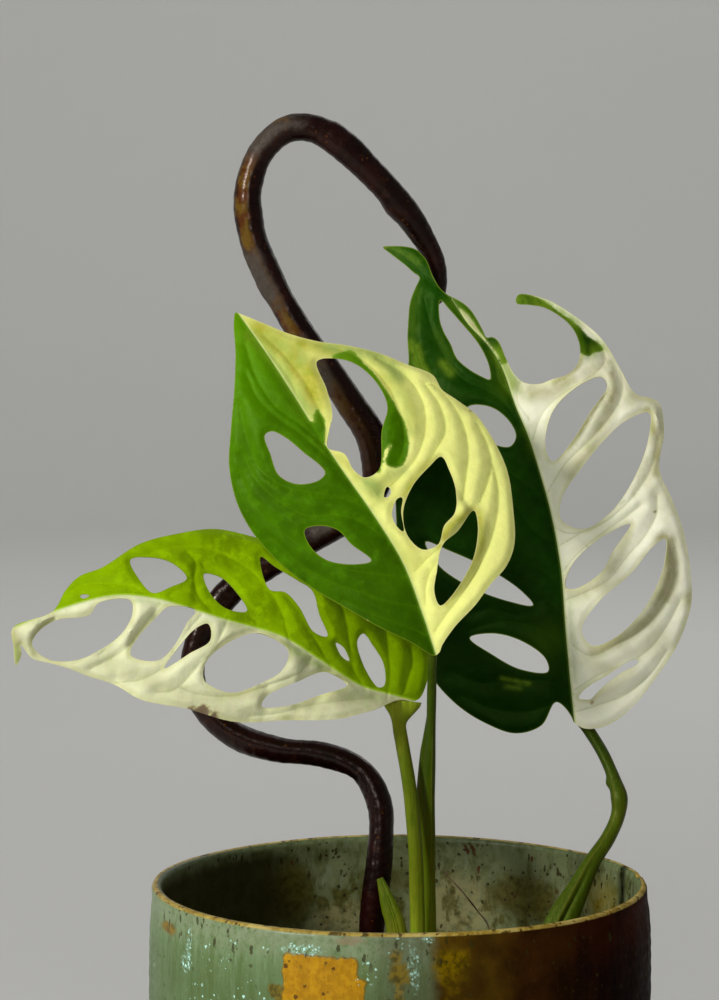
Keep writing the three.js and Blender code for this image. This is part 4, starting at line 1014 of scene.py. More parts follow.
RIGHT_LEAF = {
    "pale_left": False,
    "wash_and_shade_spots": [(110.4, -12.2, 5, 0.7), (25.5, 0.8, 7, 0.4), (24.2, -48.2, 3, 0.8), (105.8, -18.4, 4, 0.7),
        (104.7, -44.5, 4, 0.4), (14.9, -33.1, 6, 0.4), (42.9, -49.2, 4, 0.4), (140.8, -20.5, 5, 0.6)],
    "scars": [(1.5, -6.9, 1, 0.6), (55.4, -45.9, 0.8, 0.55), (24.2, -50.5, 0.8, 0.45)],
    "base": (58.5, 31, 190),
    "tip": (14.5, 52, 330),
    "face": (-0.1, -1, 0.15),
    "rib": [(0, 0, 0), (14, -3, 2), (27.5, -6, 4), (46.5, -10.5, 6), (65.5, -13, 8), (77, -13.5, 9),
        (92, -13.5, 9), (103, -12.5, 8.5), (117, -12, 7), (125, -10, 6), (134.5, -5.5, 4.5), (146.5, -2, 2.5),
        (156.5, 4.5, -1), (163.5, 8.5, -3.5), (169.5, 14.5, -6)],
    "fold": ((0.15, 0.15, 0.15, 0.1, 0.1), (0.25, 0.25, 0.2, 0.1, 0)),
    "curl": ((-0.6, -0.6, -0.6, -0.6, -0.5), (-0.9, -0.8, -0.7, -0.6, -0.5)),
    "left": [(169.5, 14.5), (167, 13), (164, 11), (161, 9), (157.5, 7), (155, 5.5), (152, 8), (148, 11),
        (142, 13.5), (136, 15.5), (128.5, 17.5), (117, 23.5), (101.5, 30.5), (85.5, 35.5), (66, 40.5),
        (45.5, 42.5), (27.5, 42.5), (14.5, 37), (5, 29), (-1, 20.5), (-1, 11.5), (5, 4.5), (0.5, 1.5),
        (-3, 1)],
    "right": [(169.5, 14.5), (169, 12), (167, 7), (165, 4), (162.5, 2.5), (160, 1.5), (154, 1), (149.5, 0),
        (146, -2), (144, -4), (141, -6.5), (138, -8), (134, -9), (131, -9.5), (128, -10), (127.5, -12),
        (125.5, -13.5), (121, -14), (116.5, -14.5), (112.5, -15.5), (109.5, -17.5), (107.5, -22),
        (107.5, -26.5), (107.5, -32), (109.5, -36), (112.5, -38), (117.5, -39), (123, -38), (128, -35),
        (132, -31), (134, -27), (136, -23), (138.5, -24.5), (134, -33), (127.5, -39), (116, -46.5),
        (103.5, -49.5), (95, -51.5), (90, -58), (80.5, -57), (68.5, -51.5), (58, -52.5), (47, -53), (32, -51),
        (22.5, -48), (11.5, -40), (2.5, -29), (-5, -17.5), (-7.5, -8), (-6, -1.5), (-3, 1)],
    "holes": [
        [(103.5, -42.5), (100, -43.5), (93.5, -36), (85, -26), (81.5, -18.5), (87.5, -18), (97, -23.5),
            (102, -32)],
        [(87.5, -54), (79, -51), (69, -43.5), (60, -32.5), (57, -21.5), (62.5, -15.5), (69, -18),
            (77.5, -28.5), (83, -37), (87, -45.5)],
        [(54, -37), (47, -28.5), (42, -23.5), (39, -13.5), (40.5, -10), (46.5, -14), (52, -24.5)],
        [(46, -46.5), (37, -43), (26, -33), (19.5, -20.5), (19.5, -12.5), (25.5, -11), (32.5, -19),
            (38.5, -32.5), (44.5, -41.5)],
        [(4, -3), (5.5, -4.5), (7, -8), (8.5, -14.5), (10, -19.5), (11, -24), (10.5, -25.5), (9.5, -25.5),
            (8.5, -23), (8, -19.5), (6, -13.5), (4, -9.5), (2.5, -6.5), (3, -5)],
        [(145, 1), (139, 3), (134.5, 3), (129.5, 2), (124.5, 1.5), (120, -1), (116.5, -4), (114, -7),
            (115, -7.5), (119, -8), (124, -7.5), (129.5, -6), (135.5, -3.5), (141, -1)],
        [(104, 6), (107.5, 2.5), (105, -4.5), (98.5, -9), (93, -9.5), (90.5, -6.5), (95, 0.5)],
        [(69, 30), (63.5, 23), (55, 13.5), (44, 4.5), (38, 2), (41.5, 9), (50, 20), (60, 28)],
        [(34, 25.5), (33, 17.5), (28, 9.5), (20, 3.5), (15.5, 4), (19, 12.5), (26.5, 20)],
    ],
    "veins": [
        [(70, -12.5), (79.5, -6.5), (87, -0.5), (94, 2.5)],
        [(55, -11.5), (61.5, -6), (68.5, -3.5), (77, -0.5)],
        [(41.5, -9), (49, -4), (53.5, 1.5), (54, 9)],
        [(30.5, -7.5), (38.5, -2.5), (36, 7), (41, 16), (41.5, 24.5)],
        [(14.5, -4), (25, -1.5), (32, 5), (36, 14), (36.5, 24.5)],
        [(5.5, -2), (12, 4.5), (16, 15.5), (18.5, 27), (25, 35)],
        [(2, -1), (4, 5), (5, 15.5), (9.5, 26), (16, 34)],
        [(89, -13), (101.5, -10.5), (110, -6), (116.5, 1), (125.5, 5), (136, 6.5), (147, 6)],
        [(107, -12), (113, -9.5), (120, -10.5), (128, -9.5), (136, -7)],
        [(127, -11), (142, -8.5), (149, -3)],
        [(71.5, -13), (79.5, -22.5), (85, -33.5), (91, -42.5), (96.5, -47.5), (103.5, -49), (108.5, -48)],
        [(90.5, -14.5), (97.5, -20), (101.5, -27.5), (104, -37), (108, -45), (114, -45.5), (122, -42),
            (129.5, -36), (135.5, -29.5)],
        [(61, -12), (57, -17), (56.5, -25), (59, -34), (64.5, -43.5), (72, -51), (79, -55)],
        [(54, -11), (55.5, -18), (58.5, -28), (62, -37.5)],
        [(36.5, -9), (37, -16), (38.5, -24), (44, -32.5), (49, -40.5), (54.5, -46), (60, -48)],
        [(45.5, -10.5), (49.5, -16.5), (53.5, -26), (57, -37), (59, -42)],
        [(21.5, -6.5), (16.5, -11), (17.5, -21), (20.5, -31.5), (26.5, -40), (35, -46), (45.5, -47)],
        [(7, -2.5), (9.5, -11.5), (10.5, -21.5), (12.5, -30), (18.5, -38.5), (25, -45)],
        [(0, -1), (0, -9), (0.5, -18), (4.5, -28), (10.5, -36)],
        [(113, -18), (104.5, -13.5), (97, -15.5)],
    ],
    "creases": [
        (-0.55, 5, [(117, 9.5), (123, 10), (128, 10.5), (132.5, 11.5), (139, 10), (147.5, 7.5), (157.5, 4)]),
        (1.1, 3, [(82, -21.5), (85.5, -29), (91.5, -35.5), (96.5, -41), (100, -45)]),
        (1.1, 3, [(105, -23.5), (106.5, -32.5), (109, -38), (112, -41), (117, -42), (124, -39.5)]),
        (0.95, 5, [(17, -14.5), (18, -25), (22, -34.5), (28, -41.5), (35, -47), (43, -49), (51.5, -50)]),
        (0.3, 5, [(77.5, -27), (82.5, -35.5), (88.5, -43), (96, -47), (103.5, -47.5), (113.5, -45)]),
        (-0.6, 3, [(89.5, -55.5), (82.5, -56), (76, -54), (68.5, -50)]),
        (0.8, 3, [(38.5, -13), (41, -22), (41.5, -27.5), (47, -30.5)]),
        (0.55, 4, [(0.5, -3.5), (0, -12), (1.5, -21), (5, -30)]),
    ],
    "patches": [
        (False, [(146.5, -3.5), (143.5, -7.5), (139, -11), (132.5, -13), (126.5, -13.5), (121.5, -14.5),
            (118, -14.5), (117.5, -12.5), (121.5, -12), (125, -10.5), (130.5, -8.5), (137, -6.5),
            (142.5, -3.5)]),
        (False, [(139.5, -24), (135.5, -22.5), (130, -31), (124, -36.5), (119, -38), (114, -37.5),
            (111.5, -40.5), (112, -43.5), (112, -46), (115, -45), (118, -42.5), (124, -39.5), (128.5, -36),
            (135, -31)]),
        (False, [(179.5, 19.5), (175, 6.5), (166.5, -1), (158, -2.5), (149.5, -3.5), (144.5, -3.5),
            (146, -1.5), (149.5, 1), (156.5, 6.5), (159.5, 11), (167, 23.5)]),
    ],
    "wash_and_shade_lines": [
        (0.75, 3, [(75.5, -23.5), (83.5, -33), (90.5, -39.5), (97, -44.5)]),
        (0.9, 2, [(88, -53.5), (78, -53.5), (67.5, -50)]),
        (0.6, 3.5, [(36.5, -13), (38, -22)]),
        (1, 2.4, [(46, -45.5), (35, -44.5), (26, -37)]),
        (0.7, 4, [(94, -49.5), (93, -55.5)]),
        (0.5, 3.5, [(106.5, -38), (107, -44), (101, -47.5), (94.5, -49.5)]),
        (0.85, 2.6, [(95.5, -51.5), (92, -56.5)]),
        (0.8, 3, [(104.5, -18.5), (104, -25.5), (105.5, -33)]),
        (1, 1.6, [(103.5, -46), (98.5, -45.5), (94.5, -43)]),
        (1, 1.3, [(89, -54), (84.5, -54), (79.5, -53.5)]),
        (1, 2.4, [(123, -12), (117, -13), (110, -14)]),
        (0.35, 4, [(70, -45.5), (62.5, -48), (56.5, -50.5)]),
        (0.4, 1.6, [(27, -50.5), (17.5, -47), (9.5, -40)]),
        (0.15, 4, [(12.5, -13), (16.5, -28.5), (26.5, -40)]),
        (1, 1.3, [(82.5, -20.5), (87.5, -29), (93, -36), (98, -41.5)]),
        (0.4, 2.5, [(110, -40.5), (111, -46.5), (107.5, -49)]),
        (1, 1.3, [(121, -40), (113.5, -39), (108.5, -34.5), (106, -27)]),
        (0.6, 1.8, [(90, -55.5), (82.5, -55.5), (74.5, -53.5), (68.5, -49)]),
        (0.4, 1.2, [(63.5, -41), (73, -49)]),
        (0.55, 1.8, [(53, -37), (42, -27), (38, -18), (38, -11)]),
        (0.85, 2.4, [(44.5, -48), (33.5, -45), (23.5, -34.5), (18.5, -22), (17, -12.5)]),
        (0.35, 3, [(15.5, -9), (11, -15)]),
        (0.45, 1.6, [(3, -7.5), (4, -14.5), (7.5, -23)]),
        (0.7, 2, [(122.5, -13.5), (113, -14.5), (105.5, -16)]),
        (1, 3, [(142.5, -3.5), (137.5, -6), (130, -7.5)]),
        (0.7, 1.6, [(110.5, -45), (106, -47), (101, -47)]),
        (0.9, 1.8, [(43, -46.5), (32, -45), (26.5, -40.5)]),
    ],
    "mints": [
        (1, 1.5, [(124.5, 6.5), (120.5, 5)]),
        (1, 1.7, [(134.5, 15), (131, 15), (127, 15), (124.5, 15)]),
        (1, 3.2, [(137.5, -23.5), (134.5, -29), (131, -34)]),
        (0.9, 2.6, [(128.5, -36), (124, -39.5)]),
        (0.9, 2.4, [(112.5, -41.5), (113.5, -45.5)]),
        (1, 1.1, [(132.5, 13), (129, 13), (125.5, 13), (120.5, 12)]),
        (0.2, 1.8, [(135, 5), (130, 4.5), (125.5, 3.5)]),
        (0.5, 1.6, [(168, 12), (164.5, 8), (160.5, 4.5)]),
        (0.3, 2.6, [(151.5, 8.5), (145, 11.5), (138.5, 13)]),
        (1, 2.4, [(122, -12.5), (115.5, -13), (109.5, -14)]),
        (0.6, 0.9, [(109, -14.5), (107, -15.5)]),
        (0.4, 1, [(36, -10), (23, -7), (10, -3.5)]),
        (0.8, 0.7, [(18, 19.5), (16, 15.5), (13.5, 11)]),
        (0.6, 0.8, [(15, 19), (13, 14.5)]),
        (0.35, 2.5, [(94, -14), (86, -14.5)]),
    ],
}
LEAVES = {"leaf_centre": CENTRE_LEAF, "leaf_left": LEFT_LEAF, "leaf_right": RIGHT_LEAF}


def bent_height(points, leaf, rib):
    """Height of the blade over its flat drawing, and the places beside its midrib.

    height = midrib(s) + fold(s) (sqrt(t² + c²) - c) + curl(s) t² / 100, where s runs along the midrib and
    t across it, with one fold and curl for each side.
    """
    near = beside(points, rib, beyond=True)
    share, left = np.clip(near.share, 0, 1), near.side > 0
    fold = np.where(left, *(between(values, share) for values in leaf["fold"]))
    curl = np.where(left, *(between(values, share) for values in leaf["curl"]))
    height = near.height + fold * (np.hypot(near.side, CREASE) - CREASE) + curl * near.side**2 / 100
    return height, near


def crease_height(points, creases):
    """Folds beside lines, faded at their ends.

    height = slope · reach (1 - exp(-d / reach)) exp(-(d / 3.5 reach)²), at a distance d left of a line.
    """
    height = np.zeros(len(points))
    for slope, reach, line in creases:
        near = beside(points, evenly(spline(line, per=8), step=0.8))
        apart = np.maximum(near.side, 0)
        ends = soft_step(near.share, 0.0, 0.18) * soft_step(near.share, 1.0, 0.82)
        height += slope * reach * (1 - np.exp(-apart / reach)) * bell(near.side, 3.5 * reach) * ends
    return height


def rows_beside(line, offsets, step):
    """Points at even steps beside a line, one row for each offset to its left."""
    even = evenly(line[:, :2], step=step)
    ahead = np.gradient(even, axis=0)
    ahead /= np.maximum(np.linalg.norm(ahead, axis=1), 1e-9)[:, None]
    left = np.stack([-ahead[:, 1], ahead[:, 0]], 1)
    return np.vstack([even + offset * left for offset in offsets])


def squares(points, reach):
    """One whole number for the square of a given size that each flat point lies in."""
    column, row = np.round(points / reach).astype(int).T
    return column * 10**6 + row


def thinned(points, reach):
    """Points without those that share a square of the given size with an earlier one."""
    _, first = np.unique(squares(points, reach), return_index=True)
    return points[np.sort(first)]


def leaf_net(loops, rib, veins):
    """Flat points and triangles of a blade: rows along the midrib and veins, and an even field between."""
    rows = [rows_beside(rib, (0, 0.7, -0.7, 1.6, -1.6, 2.8, -2.8), 1.0)]
    rows += [rows_beside(vein, (0, 0.42, -0.42, 0.95, -0.95), 1.0) for vein in veins]
    low, high = loops[0].min(0), loops[0].max(0)
    row_pitch = 0.866 * FACE_PITCH  # so that the field's triangles have even sides
    x, y = np.meshgrid(np.arange(low[0], high[0], FACE_PITCH), np.arange(low[1], high[1], row_pitch))
    x[1::2] += FACE_PITCH / 2
    field = np.stack([x.ravel(), y.ravel()], 1)
    lines = np.vstack(rows)
    taken = np.isin(squares(field, 0.9 * FACE_PITCH), squares(lines, 0.9 * FACE_PITCH))
    inner = np.vstack([thinned(lines, CLOSEST), field[~taken]])
    inner = inner[inside(inner, loops)]
    edge = np.min([loop_distance(inner, loop) for loop in loops], axis=0)
    return fill(loops, inner[edge > RIM_CLEAR])


def round_spots(a, b, spots):
    """The strongest of some round bells at each place, from their middles, reaches and forces."""
    bells = [np.exp(-(((a - x) ** 2 + (b - y) ** 2) / reach**2)) * force for x, y, reach, force in spots]
    return np.max(bells, axis=0)


def build_leaf(name, leaf, look, paint):
    """One blade as two skins over the same flat net, joined by a thin rim.

    upper(a, b) = base + a · axis + b · across + h(a, b) · face, where h = bent height + creases + swelling
    between the veins - a groove on each vein + a fine pucker. The under skin lies below it along the
    normals, by the blade's thickness, the midrib and the veins' ridges.
    """
    base, tip = np.array(leaf["base"], float), np.array(leaf["tip"], float)
    axis = (tip - base) / np.linalg.norm(tip - base)
    face = np.array(leaf["face"], float)
    face -= axis * (face @ axis)
    face /= np.linalg.norm(face)
    across = np.cross(face, axis)
    rib = evenly(spline(leaf["rib"], per=12), count=80)
    outline = np.array(leaf["right"][::-1] + leaf["left"][1:], float)
    loops = [evenly(spline(outline, closed=True), step=EDGE_PITCH, closed=True)]
    loops += [evenly(spline(hole, closed=True), step=EDGE_PITCH, closed=True) for hole in leaf["holes"]]
    veins = [evenly(spline(vein, per=8), step=0.9) for vein in leaf["veins"]]
    flat, net = leaf_net(loops, rib, veins)

    height, near = bent_height(flat, leaf, rib)
    height += crease_height(flat, leaf["creases"])
    vein = np.min([abs(beside(flat, line).side) for line in veins], axis=0)
    edge = np.min([loop_distance(flat, loop) for loop in loops], axis=0)
    calm = soft_step(edge, 0.2, 2.2)
    ribbed = 1 - bell(near.side, RIB_REACH)
    swelling = look.swelling / MM * (1 - bell(vein, VEIN_REACH)) * calm * ribbed
    groove = GROOVE_DEPTH * bell(vein, GROOVE_WIDTH) * calm
    valley = VALLEY_DEPTH * bell(near.side, VALLEY_WIDTH) * soft_step(near.share, 1.0, 0.75)
    a, b = flat.T
    pucker = 0.10 * np.sin(0.61 * a + 1.3 * np.sin(0.37 * b)) * np.sin(0.53 * b + 1.1 * np.sin(0.41 * a))
    pucker += 0.05 * np.sin(1.31 * a - 0.9 * b) * np.sin(1.17 * b + 0.4 * a)
    height += swelling - groove - valley + pucker * look.pucker * calm
    upper = base + a[:, None] * axis + b[:, None] * across + height[:, None] * face
    normal = point_normals(upper, net)
    share = np.clip(near.share, 0, 1)
    thickness = RIM_THICKNESS + (look.thickness / MM - RIM_THICKNESS) * (1 - np.exp(-edge / 0.9))
    keel = KEEL_DEPTH * bell(near.side, KEEL_WIDTH) * (1 - 0.7 * share)
    ridge = RIDGE_DEPTH * bell(vein, RIDGE_WIDTH) * calm
    lower = upper - normal * (thickness + keel + ridge)[:, None]
    rim = outer_steps(net)
    count = len(upper)
    walls = np.stack([rim[:, 1], rim[:, 0], rim[:, 0] + count, rim[:, 1] + count], 1)

    pale = near.side if leaf["pale_left"] else -near.side
    for adds, patch in leaf["patches"]:
        loop = evenly(spline(patch, closed=True, per=8), step=0.8, closed=True)
        depth = loop_distance(flat, loop) * np.where(inside(flat, [loop]), 1, -1)
        pale = np.maximum(pale, depth) if adds else np.minimum(pale, -depth)
    # Spots and bells along lines that mark painted shade on folded and rolled parts, mixed with olive and tan
    # washes.
    wash_and_shade, scar = (round_spots(a, b, leaf[kind]) for kind in ("wash_and_shade_spots", "scars"))
    mint = 0 * wash_and_shade
    for lines, strength in ((leaf["wash_and_shade_lines"], wash_and_shade), (leaf["mints"], mint)):
        for force, reach, line in lines:
            apart = beside(flat, evenly(spline(line, per=8), step=1.0)).side
            np.maximum(strength, force * bell(apart, reach), out=strength)
    marks = {"flat": np.column_stack([a, b, 0 * a]), "rib": near.side, "far": share, "vein": vein}
    marks |= {"edge": edge, "pale": pale, "wash_and_shade": wash_and_shade, "mint": mint, "scar": scar}
    fields = {label: np.concatenate([mark, mark]) for label, mark in marks.items()}
    fields["under"] = np.repeat([0.0, 1.0], count)
    faces = [net, net[:, ::-1] + count, walls]
    blade = name.replace("leaf", "blade")
    make_piece(blade, np.vstack([upper, lower]), faces, paint, [name], fields)


def leaf_paint(name, look, green, cream, shade):
    """A variegated blade: green and pale parts that meet where the field "pale" is 0, with veins and a net.

    green, cream and shade are the colours of one leaf; shade is painted shade on its folded pale parts, laid
    by a field that also holds olive and tan washes. The green is painted lighter towards the tip as painted
    light and darker near the stalk as painted shade. The border wanders by noise, a lighter line runs along
    the midrib, the field "mint" marks where green and pale mix, the under side is duller, and scars are
    brown.
    """
    paint = Paint(name, place="flat", unit=1.0)
    blend, layers, step, noise = paint.blend, paint.layers, paint.step, paint.noise
    times, plus, minus = paint.times, paint.plus, paint.minus
    pale, rib, vein, edge, far = (paint.field(label) for label in ("pale", "rib", "vein", "edge", "far"))
    under, wash_and_shade, mint, scar = (paint.field(label) for label in ("under", "wash_and_shade", "mint", "scar"))
    cloud, mottle, grain = noise(15, 3, 0.55), noise(4.2, 4, 0.6), noise(0.5, 2, 0.6)
    lit_side_band = noise(2.4, 3, 0.6, paint.stretched(0.5, 1, 1))
    web = step(paint.cells(3.1, "DISTANCE_TO_EDGE", place=paint.torn_place(2.0, 1.2)), 0.09, 0.0)
    line, wide_line = step(vein, 0.5, 0.1), step(vein, 1.8, 0.2)
    from_rib = paint.size(rib)
    border = plus(pale, times(paint.swing(noise(1.8, 3, 0.6), 1.1), step(from_rib, 0.8, 3.0)))
    is_pale = step(border, -0.25, 0.25)
    mixed = plus(times(mint, 0.5), times(mint, step(lit_side_band, 0.30, 0.56), 0.5))

    deep = tuple(0.66 * v for v in green)
    bright = tuple(min(1.0, 1.38 * v + 0.001) for v in green)
    lit = (min(1.0, green[0] * 1.5 + 0.004), min(1.0, green[1] * 1.35 + 0.006), green[2])
    # Lighter green towards the tip is painted light, and darker green near the stalk is painted shade.
    lit_tip_tone, shaded_base_tone = (tuple(share * v for v in green) for share in (2.0 - 2.0 * green[1], 0.45))
    leafy = layers(
        blend(step(cloud, 0.3, 0.7), deep, green),
        (step(mottle, 0.46, 0.72), bright, 0.6),
        (step(far, 0.55, 1.0), lit_tip_tone, 0.8),
        (step(far, 0.42, 0.08), shaded_base_tone, 0.6),
        (wide_line, bright, 0.06),
        (web, bright, 0.06),
        (line, lit, 0.12),
        (wash_and_shade, tint(124, 166, 24), 0.2),
        (mixed, tint(110, 140, 32), 0.7),
    )

    ivory = tuple(min(1.0, 1.05 * v + 0.015) for v in cream)
    dusk = (cream[0] * 0.70, cream[1] * 0.78, cream[2] * 0.42)
    warmer = (min(1.0, 1.2 * shade[0]), 1.05 * shade[1], min(1.0, 1.5 * shade[2]))
    broken = plus(0.68, times(step(noise(5.5, 3, 0.55), 0.34, 0.66), 0.2))
    flecks = times(step(noise(1.1, 3, 0.6), 0.66, 0.72), step(cloud, 0.5, 0.66))
    body = layers(
        blend(step(cloud, 0.3, 0.72), cream, ivory),
        (step(mottle, 0.5, 0.78), dusk, 0.2),
        (wide_line, dusk, 0.09),
        (web, dusk, 0.05),
        (line, tuple(0.8 * v for v in shade), 0.22),
        # painted shade on folded pale parts, mixed with olive and tan washes
        (times(wash_and_shade, broken), blend(step(noise(3.4, 3, 0.6), 0.42, 0.60), shade, warmer)),
        (mixed, look.mint, 0.85),
        (flecks, tint(142, 160, 72), 0.4),
    )

    ragged = plus(scar, paint.swing(noise(1.7, 4, 0.65), 0.9))
    burn = step(ragged, 0.40, 0.62)
    above = layers(
        blend(is_pale, leafy, body),
        (times(step(border, 0.8, 0.1), step(border, -0.9, -0.1)), tint(150, 178, 70), 0.28),
        (step(from_rib, 0.75, 0.30), blend(is_pale, bright, tint(214, 226, 150)), 0.55),
        (times(step(edge, 2.2, 0.3), step(cloud, 0.36, 0.6), is_pale), look.fringe, 0.34),
        (step(edge, 0.45, 0.12), blend(is_pale, tint(140, 160, 40), tint(226, 224, 160)), 0.4),
        (step(ragged, 0.26, 0.42), tint(186, 170, 112), 0.55),
        (burn, blend(mottle, tint(88, 66, 44), tint(168, 150, 122))),
    )
    below = blend(0.55, above, blend(is_pale, tint(96, 120, 34), tint(190, 192, 120)))
    below = blend(line, below, tint(166, 180, 84), 0.4)
    rough = plus(times(mottle, 0.16), look.gloss, times(under, 0.18), times(burn, 0.25))
    relief = plus(times(web, -0.025), times(mottle, 0.22), times(grain, 0.012))
    return paint.finish(
        blend(under, above, below),
        rough,
        minus(relief, times(burn, 0.12)),
        0.8,
        Subsurface_Weight=0.10,
        Subsurface_Radius=(0.3, 0.5, 0.1),
        Subsurface_Scale=0.002,
        Specular_IOR_Level=0.10,
        Specular_Tint=(0.6, 1.0, 0.25, 1.0),
    )


# Stems

CENTRE_STALK = [
    (10.1, 4, 96), (10.1, 4, 123), (10, 3, 145.5), (9.9, -1, 166), (10.1, -6, 186.5), (10.2, -10, 203),
    (10.3, -13.6, 214), (10.8, -13.2, 218.5),
]
LEFT_STALK = [
    (5.9, -2.4, 96), (5.85, -2.9, 126.5), (5.3, -3.8, 147), (3.7, -4.4, 167), (0.9, -4.4, 185),
    (-0.1, -4.3, 191.2), (0.3, -3.9, 195.5), (0.7, -3.5, 199),
]
RIGHT_STALK = [
    (43, -1, 96), (46.5, 1, 110), (52.6, 5, 124), (58, 9, 133.5), (63.5, 13, 143), (69.2, 17, 150.5),
    (72.6, 20, 157.5), (73, 21.5, 163.5), (69, 29, 175), (64.2, 34.6, 183), (59.8, 34.8, 189.5),
]
OLD_SHEATH = [(0.5, 4, 96), (-1, 5, 123), (-3.9, 7, 132), (-6.2, 9, 138.5)]
CREEPING_STEM = [(-16, 6, 95), (8, 1, 97.5), (44, -1, 97), (57, 4, 93)]
BACK_LEFT = math.pi - 0.5  # where the centre stalk's wing stands
FRONT = 1.5 * math.pi


def centre_radius(share, turn):
    """Thin stalk that widens downwards, with the old sheath's wing on its left and its edge in front."""
    reach = between((3.2, 3.4, 3.6, 3.8, 3.8, 3.6, 3.2, 2.2, 0.2, 0, 0), share)
    wing = reach * (0.72 * towards(turn, BACK_LEFT, 0.26) + 0.28 * towards(turn, BACK_LEFT, 0.6))
    edge = 0.28 * soft_step(share, 0.80, 0.70) * towards(turn, FRONT + 0.25, 0.16)
    slack = 0.06 * np.sin(2 * turn + 5 * share) + 0.05 * np.sin(31 * share)
    return between((2.4, 2.2, 2.0, 1.8, 1.7, 1.7, 1.6, 1.55, 1.5, 1.5, 1.6), share) + wing + edge + slack


def left_radius(share, turn):
    """Stalk with a slit sheath in front, that opens under the blade into a flat funnel."""
    across = between((2.5, 2.5, 2.5, 2.45, 2.4, 2.35, 2.3, 2.25, 2.2, 2.2, 2.2), share)
    deep = between((2.3, 2.3, 2.3, 2.2, 2.1, 2.1, 2.0, 2.0, 1.9, 1.8, 1.5), share)
    funnel = 4.2 * soft_step(share, 0.915, 1.0) ** 1.3
    slit = 0.12 * between((1, 1, 1, 0.8, 0.4, 0, 0, 0), share) * towards(turn, FRONT + 0.5, 0.2)
    rib = 0.1 * soft_step(share, 0.85, 0.7) * towards(turn, FRONT - 0.3, 0.3)
    return ellipse(across + funnel, deep, turn) - slit + rib + 0.05 * np.sin(27 * share + turn)


def right_radius(share, turn):
    """Wide grooved sheath at the foot, a thin stalk above it and a swollen knee three quarters up."""
    half = between((5.6, 5.8, 5.6, 5.0, 3.7, 2.7, 2.3, 2.3, 2.0, 1.9, 2.1), share)
    deep = between((2.6, 2.4, 2.2, 2.2, 2.3, 2.3, 2.3, 2.3, 2.0, 1.9, 2.0), share)
    groove = between((1, 1, 1, 0.8, 0.35, 0, 0, 0, 0, 0, 0), share) * towards(turn, FRONT, 0.32)
    lips = 0.35 * between((1, 1, 1, 0.7, 0.2, 0, 0, 0), share) * towards(turn, FRONT - 0.62, 0.2)
    knee = 0.55 * bell(share - 0.70, 0.035) + 0.3 * bell(share - 0.985, 0.03)
    nub = 1.0 * bell(share - 0.752, 0.018) * towards(turn, math.pi, 0.5)
    return ellipse(half, deep, turn) - 1.1 * groove + lips + knee + nub + 0.05 * np.sin(23 * share)


def old_sheath_radius(share, turn):
    """Flat dried sheath that narrows to a torn tip."""
    half = between((3.8, 3.8, 3.6, 3, 1.2), share)
    deep = between((1.4, 1.3, 1.2, 1, 0.5), share)
    ribs = 0.12 * np.sin(9 * turn) + 0.1 * np.sin(17 * share)
    return ellipse(half, deep, turn) + ribs * np.minimum(1, deep)


def creeping_radius(share, turn):
    """Creeping stem with a raised ring at each joint."""
    joints = np.exp(-((np.sin(3.5 * math.pi * share + 0.4) / 0.16) ** 2))
    return (5.0 + 0.5 * joints + 0.15 * np.sin(5 * turn + 9 * share)) * round_ends(share, 75, 5)


LEFT_LIGHTS = (1.2, 1.2, 1.1, 0.85, 0.62, 0.48, 0.42, 0.40, 0.42, 0.46, 0.95)
RIGHT_LIGHTS = (0.20, 0.18, 0.16, 0.16, 0.16, 0.22, 0.10, 0.05, 0.04)
STALKS = (  # route, radius, rings, sides, age, how light it is from foot to top, and turn of its pale seam
    (CENTRE_STALK, centre_radius, 130, 72, 0.10, (0.62, 0.56, 0.40, 0.20, 0.09, 0.08, 0.14), FRONT + 0.25),
    (LEFT_STALK, left_radius, 130, 48, 0.45, LEFT_LIGHTS, FRONT - math.pi),
    (RIGHT_STALK, right_radius, 150, 48, 0.10, RIGHT_LIGHTS, FRONT - 0.62),
    (OLD_SHEATH, old_sheath_radius, 60, 48, 0.80, (0.30, 0.34, 0.38, 0.34), FRONT - 1.0),
    (CREEPING_STEM, creeping_radius, 110, 40, 1.0, (0.3, 0.3), FRONT),
)


def build_stems(look, paint):
    """The stalks and the stem they grow from, each a radius r(s, w) carried along its own curve."""
    points, faces, fields = [], [], {"light": [], "seam": [], "age": [], "foot": []}
    count = 0
    for route, radius, rings, sides, age, lights, seam in STALKS:
        part, net, share, turn = sweep(route, radius, look.girth, rings, sides, count)
        points.append(part)
        faces += net
        count += len(part)
        fields["light"].append(between(lights, share))
        fields["seam"].append(towards(turn, seam, 0.11) * soft_step(share, 0.82, 0.70))
        fields["age"].append(np.full(len(part), age))
        fields["foot"].append(np.clip(1 - (part[:, 2] - SOIL_TOP) / 45, 0, 1))
    fields = {label: np.concatenate(values) for label, values in fields.items()}
    make_piece("stalks", np.vstack(points), faces, paint, ["stems"], fields, sharp=70)


